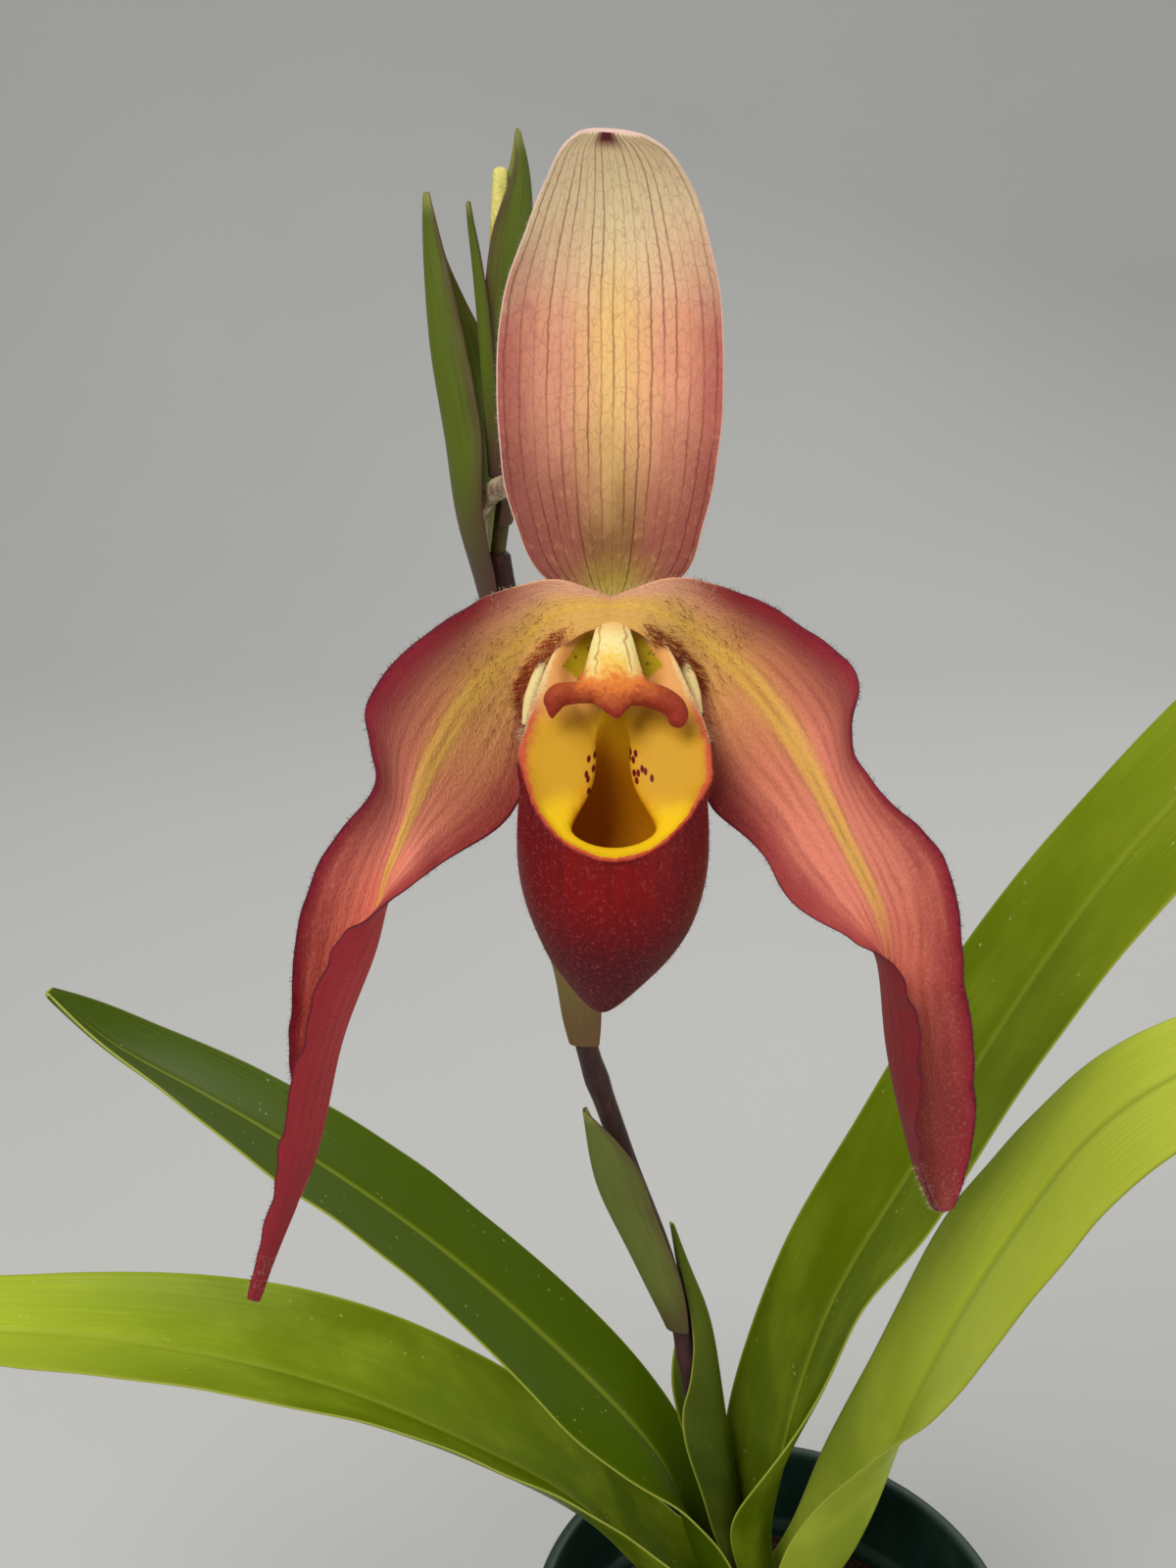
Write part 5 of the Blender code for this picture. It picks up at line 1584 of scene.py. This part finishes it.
        def bristly(at: np.ndarray, way: np.ndarray, uv: np.ndarray) -> np.ndarray:
            """Share of the bristles on the yellow foot."""
            return near(uv[:, 0], 0.25, 0.9) * near(uv[:, 1], 0.07, 0.19) * (way[:, 1] < -0.2)

        def margin(at: np.ndarray, way: np.ndarray, uv: np.ndarray) -> np.ndarray:
            """Share of the cilia along both margins."""
            return (np.abs(2 * uv[:, 0] - 1) > 0.985) * (uv[:, 1] > 0.12)

        def ends(at: np.ndarray, way: np.ndarray, uv: np.ndarray) -> np.ndarray:
            """Share of the pale down at the foot and the tip."""
            return (uv[:, 1] < 0.16) * (0.25 + (uv[:, 0] < 0.12)) + 0.35 * (uv[:, 1] > 0.93)

        brick = DownFinish(f"brick hairs {side}", tint(196, 66, 40)).make()
        dark = DownFinish(f"dark hairs {side}", tint(96, 26, 28)).make()
        pale = DownFinish(f"pale hairs {side}", tint(255, 238, 190)).make()
        outward = (-0.9, -0.1, -0.5) if side == "left" else (0.9, -0.1, -0.5)
        still = (0.0, 0.0, 0.0)
        for number, (coat, finish, count, length, radius, droop, tangle, lean, wanted) in enumerate((
            ("fringe", brick, 440, (1.0, 2.0), 0.034, 0.2, 0.28, outward, fringed),
            ("bristles", dark, 260, (0.8, 1.4), 0.028, 0.5, 0.5, outward, bristly),
            ("cilia", dark, 1500, (0.35, 0.8), 0.022, 0.15, 0.3, still, margin),
            ("down", pale, 1300, (0.4, 0.95), 0.016, 0.2, 0.5, still, ends),
        )):
            name = f"petal_{side}_{coat}"
            hairs = Down(name, "petal", finish, count, length, radius, droop, tangle, seed + number, lean)
            hairs.build(piece, wanted)

    def ring(self, centre_y: float, height: float, half_x: float, half_y: float, rise: float) -> np.ndarray:
        """One oval ring of the pouch, round from the back."""
        points = oval((HUB_X, centre_y, height), half_x, half_y, self.sides)
        points[:, 2] += rise * (points[:, 1] - centre_y)
        return points

    def loop(self, half: Sequence[Point]) -> np.ndarray:
        """Ring that is alike on both sides, through points (half width, y, height) from front to back."""
        mirrored = [(-x, y, z) for x, y, z in half[1:-1]][::-1]
        closed = smooth_curve([mirrored[-1], *half, mirrored[0]], 16 * self.sides)
        ends = (np.linalg.norm(closed - np.array(end), axis=1) for end in (half[0], half[-1]))
        start, stop = (int(np.argmin(away)) for away in ends)
        picks = np.linspace(stop, start, self.sides // 2 + 1).round().astype(int)
        right = closed[picks]
        left = (right[1:-1] * np.array([-1.0, 1.0, 1.0]))[::-1]
        return np.vstack((right, left)) + np.array([HUB_X, 0.0, 0.0])

    def pouch(self) -> bpy.types.Object:
        """Model the slipper, with the lobes folded into its mouth."""
        rings = [self.ring(-114.6, 337.0, 0.0, 0.0, 0.0)]
        rings += [self.ring(*values) for values in (
            (-114.6, 337.4, 1.3, 1.3, 0.0),
            (-113.8, 338.9, 3.2, 3.0, 0.0),
            (-113.2, 341.0, 5.1, 4.9, 0.0),
            (-112.5, 343.4, 7.2, 6.9, 0.02),
            (-112.0, 345.4, 8.6, 8.4, 0.04),
            (-111.4, 347.9, 10.0, 9.9, 0.06),
            (-111.0, 350.4, 11.0, 11.0, 0.08),
            (-110.7, 353.3, 11.8, 11.7, 0.12),
            (-110.4, 356.2, 12.3, 12.2, 0.16),
            (-110.2, 359.0, 12.4, 12.4, 0.23),
            (-110.0, 361.8, 12.3, 12.4, 0.31),
            (-109.7, 364.4, 12.1, 12.3, 0.38),
        )]
        neck = self.ring(-109.5, 366.6, 11.9, 12.2, 0.45)
        mouth = self.loop([
            (0.0, -122.2, 361.4), (7.6, -118.6, 363.8), (11.7, -108.0, 372.0), (10.2, -101.4, 377.2),
            (7.8, -98.2, 382.0), (4.6, -95.6, 384.8), (0.0, -94.8, 384.0),
        ])
        shoulder = self.loop([
            (0.0, -120.2, 361.3), (6.6, -117.6, 363.0), (9.6, -108.4, 370.6), (7.2, -101.6, 377.2),
            (6.4, -98.9, 381.0), (3.4, -96.6, 384.0), (0.0, -96.0, 383.4),
        ])
        recess = self.loop([
            (0.0, -118.8, 361.6), (5.9, -116.8, 363.1), (6.7, -109.2, 369.0), (5.0, -103.4, 374.2),
            (5.4, -98.9, 377.2), (2.8, -96.9, 378.2), (0.0, -96.4, 378.0),
        ])
        throat = self.loop([
            (0.0, -117.2, 361.4), (4.9, -115.6, 362.8), (2.3, -110.0, 366.9), (1.7, -105.6, 370.5),
            (1.4, -103.4, 374.6), (0.0, -102.2, 377.0),
        ])
        for ring in (mouth, shoulder):
            reach = (ring[:, 0] - HUB_X) / 10.0
            ring[:, 0] += self.flare * np.clip(reach, 0.0, 1.0) * np.exp(-((ring[:, 2] - 371.5) / 5.0) ** 2)
        for corner in self.corners:
            near = np.exp(-np.sum((mouth[:, [0, 2]] - np.array(corner)) ** 2, axis=1) / 2.2)
            mouth[:, 0] += self.tooth * near * np.sign(mouth[:, 0] - HUB_X)
        angle = np.arange(self.sides) / self.sides * 2 * math.pi
        teeth = 0.16 * np.sin(15 * angle + 0.7) + 0.12 * np.sin(23 * angle + 2.0)
        rings += [neck, neck + (mouth - neck) * 0.55, mouth - np.array([0, 0, 0.35])]
        lip = mouth + (shoulder - mouth) * 0.45
        lip[:, 2] += 0.35 + teeth
        rings += [lip, shoulder]
        inner = [self.ring(y, z + 0.4, w - self.wall, d - self.wall, r) for y, z, w, d, r in (
            (-110.4, 356.2, 12.3, 12.2, 0.16),
            (-111.0, 350.4, 11.0, 11.0, 0.08),
            (-112.0, 345.4, 8.6, 8.4, 0.04),
            (-113.2, 341.4, 5.2, 5.0, 0.0),
        )]
        lip_row = len(rings) - 2
        under = throat + (inner[0] - throat) * 0.1
        under[:, 2] -= 0.9
        deep = throat + (inner[0] - throat) * 0.5
        rings += [recess, throat, under, deep, *inner, self.ring(-113.6, 339.6, 0.0, 0.0, 0.0)]
        for ring in rings:
            ring[:, 0] -= self.toe_lean * np.clip(self.toe_top - ring[:, 2], 0.0, None)
        slipper = wrapped_object("slipper", ring_grid(rings), 2)
        rim_at, throat_at = (row / (len(rings) - 1) for row in (lip_row, lip_row + 3))
        slipper.data.materials.append(PouchFinish(rim_at=rim_at, throat_at=throat_at).make())
        self.pouch_hairs(slipper, rim_at)
        cream = EdgeFinish("pouch shoulder", tint(250, 232, 160)).make()
        left = [(-51.6, -96.6, 380.0), (-52.6, -97.8, 377.2), (-53.6, -98.8, 374.4), (-54.3, -100.2, 371.8)]
        right = [(-33.6, -96.6, 380.0), (-32.5, -97.6, 377.2), (-31.8, -98.6, 375.0), (-31.2, -99.6, 373.2)]
        for side, route, radius in (("left", left, 1.0), ("right", right, 0.85)):
            welt = Tube(route, (0.5 * radius, radius, radius, 0.4 * radius), steps=24, sides=12)
            welt = welt.build(f"pouch_welt_{side}")
            welt.data.materials.append(cream)
            register(welt, "pouch", "pouch")
        return register(slipper, "pouch", "pouch")

    def pouch_hairs(self, piece: bpy.types.Object, rim_at: float) -> None:
        """Grow the pale down outside the pouch and the comb of white hairs on its shoulders."""
        def outside(at: np.ndarray, way: np.ndarray, uv: np.ndarray) -> np.ndarray:
            """Share of the down, which is thicker below the rim."""
            return (uv[:, 1] < rim_at - 0.03) * (0.5 + 1.2 * (uv[:, 1] > rim_at - 0.12))

        def shoulders(at: np.ndarray, way: np.ndarray, uv: np.ndarray) -> np.ndarray:
            """Share of the comb, along the upper rim."""
            upper = (at[:, 2] > 371.5) * (at[:, 2] < 379.0)
            return (np.abs(uv[:, 1] - rim_at + 0.03) < 0.03) * upper

        pink = DownFinish("pouch down", tint(196, 104, 104)).make()
        white = DownFinish("white hairs", tint(250, 240, 200)).make()
        coat = Down("pouch_down", "pouch", pink, 5200, (0.3, 0.7), 0.018, 0.3, 0.45, 81)
        coat.build(piece, outside)
        comb = Down("pouch_comb", "pouch", white, 170, (0.8, 1.5), 0.028, 0.5, 0.25, 83)
        comb.build(piece, shoulders)

    def column(self) -> bpy.types.Object:
        """Model the column, its fuzzy shield with two horns, and the anther on each side."""
        shaft = [
            (-42.8, -95.8, 384.2), (-42.8, -98.4, 383.7), (-42.8, -101.4, 382.0), (-42.8, -104.0, 379.8),
            (-42.7, -106.4, 377.9), (-42.6, -108.4, 376.5),
        ]
        left_horn = [
            (-43.0, -105.6, 378.4), (-46.2, -106.4, 378.1), (-48.6, -107.0, 378.0), (-50.3, -107.5, 377.5),
            (-50.6, -107.8, 376.9),
        ]
        left_tip = [(-50.2, -107.9, 376.8), (-50.5, -108.2, 376.0), (-50.5, -108.4, 375.2)]
        right_horn = [
            (-42.5, -105.6, 378.3), (-39.2, -106.4, 377.9), (-36.6, -107.3, 377.3), (-35.0, -108.0, 376.3),
            (-34.7, -108.6, 375.4), (-34.9, -108.9, 374.8),
        ]
        left_welt = [
            (-44.3, -98.2, 384.4), (-44.9, -100.4, 383.1), (-45.4, -102.4, 381.3), (-46.2, -104.2, 379.9),
        ]
        right_welt = [
            (-41.3, -98.2, 384.4), (-40.7, -100.4, 383.1), (-40.2, -102.4, 381.3), (-39.4, -104.2, 379.9),
        ]
        limbs = [
            Tube(shaft, (1.9, 2.4, 2.8, 3.3, 3.9, 3.8, 1.7), 0.6, 30, 20),
            Tube(left_horn, (2.5, 2.1, 1.7, 1.6, 1.75, 1.3), 0.9, 26, 14),
            Tube(left_tip, (1.1, 0.8, 0.3), 1.0, 10, 12),
            Tube(right_horn, (2.5, 2.1, 1.85, 1.85, 1.7, 1.3), 0.9, 26, 14),
            Tube(left_welt, (0.5, 0.65, 0.75, 0.5), 1.0, 20, 10),
            Tube(right_welt, (0.5, 0.65, 0.75, 0.5), 1.0, 20, 10),
        ]
        parts = [limb.build(f"limb_{number}") for number, limb in enumerate(limbs)]
        for at, radius in (
            ((-46.0, -102.8, 378.2), 1.5), ((-39.6, -102.8, 378.0), 1.5), ((-45.2, -105.4, 378.8), 1.9),
            ((-40.3, -105.4, 378.6), 1.9), ((-42.4, -109.0, 376.2), 0.9),
        ):
            deselect_all()
            bpy.ops.mesh.primitive_uv_sphere_add(
                segments=20, ring_count=14, radius=radius * MM, location=np.array(at) * MM,
            )
            parts.append(bpy.context.object)
        deselect_all()
        for part in parts:
            part.select_set(True)
        bpy.context.view_layer.objects.active = parts[0]
        bpy.ops.object.join()
        obj = bpy.context.object
        obj.name = obj.data.name = "column_body"
        bpy.ops.object.transform_apply(location=True, rotation=True, scale=True)
        apply_modifier(obj, "Fuse", "REMESH", mode="VOXEL", voxel_size=0.22 * MM)
        apply_modifier(obj, "Soften", "SMOOTH", factor=0.5, iterations=10)
        take(obj)
        bpy.ops.object.shade_smooth()
        obj.data.materials.clear()
        obj.data.materials.append(ColumnFinish().make())
        peach = DownFinish("column down", tint(222, 140, 100)).make()
        coat = Down("column_down", "column", peach, 1300, (0.16, 0.36), 0.014, 0.1, 0.5, 91)
        coat.build(obj, lambda at, way, uv: (at[:, 1] < -98.0) * (0.4 + 1.0 * (at[:, 2] < 379.5)))
        return register(obj, "column", "column")

    def build(self) -> None:
        """Model and dress the flower."""
        self.sepals()
        self.petals()
        self.pouch()
        self.column()


@dataclass
class PotAndBark:
    """The round plastic pot and the bark in it."""

    base_radius: float = 42.0
    rim_radius: float = 60.0
    height: float = 105.0
    wall: float = 1.4
    floor: float = 1.8
    collar_bottom: float = 80.0
    collar_step: float = 2.3
    lip: float = 3.6
    gap: float = 0.35
    sides: int = 120
    drain_holes: int = 6
    drain_radius: float = 4.2
    drain_circle: float = 31.0
    drain_depth: float = 8.0
    chips: int = 250
    chip_spans: Spans = ((7, 15), (4, 8), (2.2, 5))
    stones: int = 9
    stone_spans: Spans = ((5, 8), (4, 6), (3.5, 5))
    crown_hole: tuple[float, float] = (13.6, 10.7)
    crown_room: tuple[float, float] = (6.5, 6.0)
    bed_top: float = 80.5
    bed_sides: int = 96
    bed_reach: float = 45.5
    draw_reach: float = 48.0

    def radius_at(self, height: float) -> float:
        """Outer radius of the tapered body at this height."""
        end = self.rim_radius - self.lip - self.collar_step
        return self.base_radius + (end - self.base_radius) * height / self.collar_bottom

    def pot(self) -> None:
        """Model the pot with its collar, lip and drain holes."""
        at = self.radius_at
        base, rim, top, wall = self.base_radius, self.rim_radius, self.height, self.wall
        lip = top - self.lip
        step = self.collar_bottom
        collar = at(step) + self.collar_step
        outside = [
            (0, 0), (20, 0), (36, 0),
            (base - 2.2, 0), (base - 1.2, 0.1), (base - 0.3, 0.7), (base + 0.1, 2.0),
            (at(20), 20), (at(50), 50), (at(step - 1), step - 1), (at(step), step),
            (at(step) + 0.2, step + 0.4),
            (collar - 0.3, step + 1.7), (collar, step + 2.2), (collar + 0.1, step + 3),
            (collar + 1.4, lip - 0.5), (collar + 1.5, lip), (collar + 1.8, lip + 0.2), (rim - 0.3, lip + 0.3),
            (rim, lip + 0.6), (rim, top - 1.0), (rim - 0.25, top - 0.3), (rim - 0.8, top),
        ]
        inside = [
            (rim - 2.6, top), (rim - 2.9, top - 0.2), (rim - 3.1, top - 0.8),
            (collar + 1.4 - wall, lip - 0.6), (collar - wall + 0.1, step + 4),
            (collar - wall, step + 2.9), (collar - wall - 0.4, step + 2.3),
            (at(step) - wall + 0.2, step + 0.9), (at(step) - wall, step + 0.3), (at(50) - wall, 50),
            (at(20) - wall, 20), (at(4) - wall, 4), (at(2) - wall - 0.8, 2.3), (at(2) - wall - 2, self.floor),
            (20, self.floor), (0, self.floor),
        ]
        profile = outside + inside
        pot = wrapped_object("pot_shell", ring_grid([oval((0, 0, z), r, r, self.sides) for r, z in profile]))
        for turn in range(self.drain_holes):
            angle = 2 * math.pi * (turn + 0.5) / self.drain_holes
            x, y = self.drain_circle * math.cos(angle), self.drain_circle * math.sin(angle)
            spot = np.array([x, y, 1.0]) * MM
            radius, depth = self.drain_radius * MM, self.drain_depth * MM
            deselect_all()
            bpy.ops.mesh.primitive_cylinder_add(vertices=28, radius=radius, depth=depth, location=spot)
            drill = bpy.context.object
            apply_modifier(pot, "Drain", "BOOLEAN", operation="DIFFERENCE", solver="EXACT", object=drill)
            take(drill)
            bpy.ops.object.delete()
        edit(pot, lambda: bpy.ops.mesh.normals_make_consistent(inside=False))
        take(pot)
        bpy.ops.object.shade_smooth_by_angle(angle=math.radians(40))
        pot.data.materials.append(PlasticFinish().make())
        register(pot, "pot_plastic", "pot")

    def bark(self) -> None:
        """Model the bed of bark with its loose chips on top."""
        rng = np.random.default_rng(17)
        inner = -self.wall - self.gap
        wide = self.radius_at(self.collar_bottom) + inner - 0.2
        low = self.radius_at(4) + inner - 0.2
        hole_x, hole_y = self.crown_hole
        top, bottom, crown_floor = self.bed_top, self.floor + self.gap, CROWN_FOOT - 1
        rings = [oval((x, 0, z), half_x, half_y, self.bed_sides) for x, half_x, half_y, z in (
            (0, 0, 0, bottom),
            (0, 30, 30, bottom),
            (0, low - 1.6, low - 1.6, bottom + 0.3),
            (0, low, low, 5),
            (0, wide, wide, top - 1.5),
            (0, wide - 2, wide - 2, top - 1.0),
            (0, 44, 44, top - 0.8),
            (CROWN_X * 0.6, 30, 29, top),
            (CROWN_X, hole_x + 4, hole_y + 4, top + 0.3),
            (CROWN_X, hole_x, hole_y, top + 0.2),
            (CROWN_X, hole_x, hole_y, crown_floor),
            (CROWN_X, 0, 0, crown_floor),
        )]
        bed = wrapped_object("bark_bed", ring_grid(rings))
        brown = BarkFinish("bark", tint(112, 74, 48), tint(50, 32, 22)).make()
        bed.data.materials.append(brown)
        stone = self.loose_chips(rng, brown)
        deselect_all()
        for part in (bed, *stone):
            part.select_set(True)
        bpy.context.view_layer.objects.active = bed
        bpy.ops.object.join()
        bpy.ops.object.shade_smooth_by_angle(angle=math.radians(34))
        register(bed, "bark", "potting_mix")

    def loose_chips(self, rng: np.random.Generator, brown: bpy.types.Material) -> list[bpy.types.Object]:
        """Model the chips, most of bark and a few of pale pumice."""
        pale = BarkFinish("pumice", tint(206, 200, 176), tint(150, 144, 120), 600.0, 0.0005).make()
        made = []
        for name, count, finish, spans in (
            ("chips", self.chips, brown, self.chip_spans),
            ("stones", self.stones, pale, self.stone_spans),
        ):
            deselect_all()
            bpy.ops.mesh.primitive_cube_add(size=1.0)
            obj = bpy.context.object
            obj.name = name
            edit(obj, lambda: bpy.ops.mesh.subdivide(number_cuts=3))
            corner = np.empty(3 * len(obj.data.vertices))
            obj.data.vertices.foreach_get("co", corner)
            corner = corner.reshape(-1, 3)
            heap = [self.chip(rng, corner, spans, name == "stones") for _ in range(count)]
            repeat(obj, np.array(heap))
            obj.data.materials.append(finish)
            made.append(obj)
        return made

    def chip(self, rng: np.random.Generator, corner: np.ndarray, spans: Spans, pale: bool) -> np.ndarray:
        """Points of one chip: a rough slab that lies nearly flat in the bed."""
        half = [rng.uniform(*span) for span in spans]
        body = corner * (1.0 - 0.32 * np.abs(corner[:, [1, 2, 0]]) ** 2 * 4 * 0.5)
        rough = sum(np.sin(corner @ rng.normal(0, 4.2, (3, 3)) + rng.uniform(0, 6, 3)) for _ in range(3))
        body = body * half + rough * (0.4 if pale else 0.32) + rng.normal(0, 0.14, corner.shape)
        body[:, 2] += rng.uniform(-0.05, 0.05) * body[:, 0] ** 2 * 0.3
        tilt = rng.normal(0, 0.8 if pale else 0.3, 2)
        turn = rng.uniform(0, 2 * math.pi)
        cx, sx, cy, sy = math.cos(tilt[0]), math.sin(tilt[0]), math.cos(tilt[1]), math.sin(tilt[1])
        ct, st = math.cos(turn), math.sin(turn)
        body = body @ np.array([[1, 0, 0], [0, cx, sx], [0, -sx, cx]])
        body = body @ np.array([[cy, 0, -sy], [0, 1, 0], [sy, 0, cy]])
        body = body @ np.array([[ct, st, 0], [-st, ct, 0], [0, 0, 1]])
        room_x, room_y = (hole + more for hole, more in zip(self.crown_hole, self.crown_room))
        while True:
            x, y = rng.uniform(-self.draw_reach, self.draw_reach, 2)
            clear = math.hypot((x - CROWN_X) / room_x, y / room_y) > 1.0
            if math.hypot(x, y) < self.bed_reach and clear:
                break
        return body + np.array([x, y, self.bed_top + rng.uniform(-0.6, 2.0)])

    def build(self) -> None:
        """Model and dress the pot and its filling."""
        self.pot()
        self.bark()


@dataclass
class Studio:
    """Floor, backdrop, lights and the camera at the photograph's angle."""

    eye: Point = (-0.046, -0.297, 0.435)
    pitch: float = 70.0
    focal_length: float = 36.0
    sensor_height: float = 36.0
    floor_size: float = 6.0
    bend_start: float = 1.2
    bend: float = 0.8
    sink: float = 0.0005
    wall_top: float = 4.0
    world_glow: float = 0.34

    def camera(self) -> None:
        """Place the camera, for an upright picture."""
        bpy.ops.object.camera_add(location=self.eye, rotation=(math.radians(self.pitch), 0.0, 0.0))
        camera = bpy.context.object
        camera.data.sensor_fit = "VERTICAL"
        camera.data.sensor_height = self.sensor_height
        camera.data.lens = self.focal_length
        camera.data.clip_start = 0.01
        bpy.context.scene.camera = camera

    def sweep(self) -> None:
        """Model the pale floor that curves up behind the plant."""
        recipe = Recipe("sweep", 0.85)
        cloud = recipe.noise(recipe.place(), 3.0, 2.0)
        recipe.finish(recipe.mix(cloud, tint(204, 204, 201), tint(210, 210, 207)))
        start, bend = self.bend_start, self.bend
        arc = [(0.0, -self.floor_size / 2, -self.sink), (0.0, start, -self.sink)]
        for angle in np.linspace(0.1, math.pi / 2, 15):
            arc.append((0.0, start + bend * math.sin(angle), bend - self.sink - bend * math.cos(angle)))
        arc.append((0.0, start + bend, self.wall_top))
        half = np.array([self.floor_size / 2, 0.0, 0.0])
        points = np.array([[np.array(p) - half, np.array(p) + half] for p in arc])
        floor = grid_object("sweep", points / MM)
        floor.data.materials.append(recipe.material)
        take(floor)
        bpy.ops.object.shade_smooth()

    def light(self, name: str, at: Point, aim: Point, size: float, power: float, colour: Colour) -> None:
        """Add one soft area light.

        Args:
            name: its name.
            at: where it stands.
            aim: what it points at.
            size: its width and height.
            power: its watts.
            colour: its colour.
        """
        turn = (Vector(aim) - Vector(at)).to_track_quat("-Z", "Y").to_euler()
        bpy.ops.object.light_add(type="AREA", location=at, rotation=turn)
        lamp = bpy.context.object
        lamp.name = name
        lamp.data.size = size
        lamp.data.energy = power
        lamp.data.color = colour

    def build(self) -> None:
        """Set up the whole studio."""
        self.camera()
        self.sweep()
        aim = (-0.03, -0.05, 0.3)
        self.light("key", (-0.7, -1.0, 1.5), aim, 0.9, 19.0, (1.0, 0.97, 0.93))
        self.light("fill", (1.3, -0.9, 0.7), aim, 1.2, 6.0, (0.97, 0.98, 1.0))
        self.light("back", (0.5, 1.1, 1.3), aim, 0.9, 7.0, (1.0, 0.98, 0.95))
        world = bpy.data.worlds.new("studio")
        world.use_nodes = True
        colour, strength = world.node_tree.nodes["Background"].inputs[:2]
        colour.default_value = (0.95, 0.97, 1.0, 1.0)
        strength.default_value = self.world_glow
        bpy.context.scene.world = world
        bpy.context.scene.view_settings.view_transform = "Standard"


def main() -> None:
    """Build every sub-assembly in order."""
    logging.basicConfig(level=logging.INFO, format="%(message)s")
    PotAndBark().build()
    LeafFan().build()
    Stalk().build()
    Flower().build()
    Studio().build()


if __name__ == "__main__":
    main()
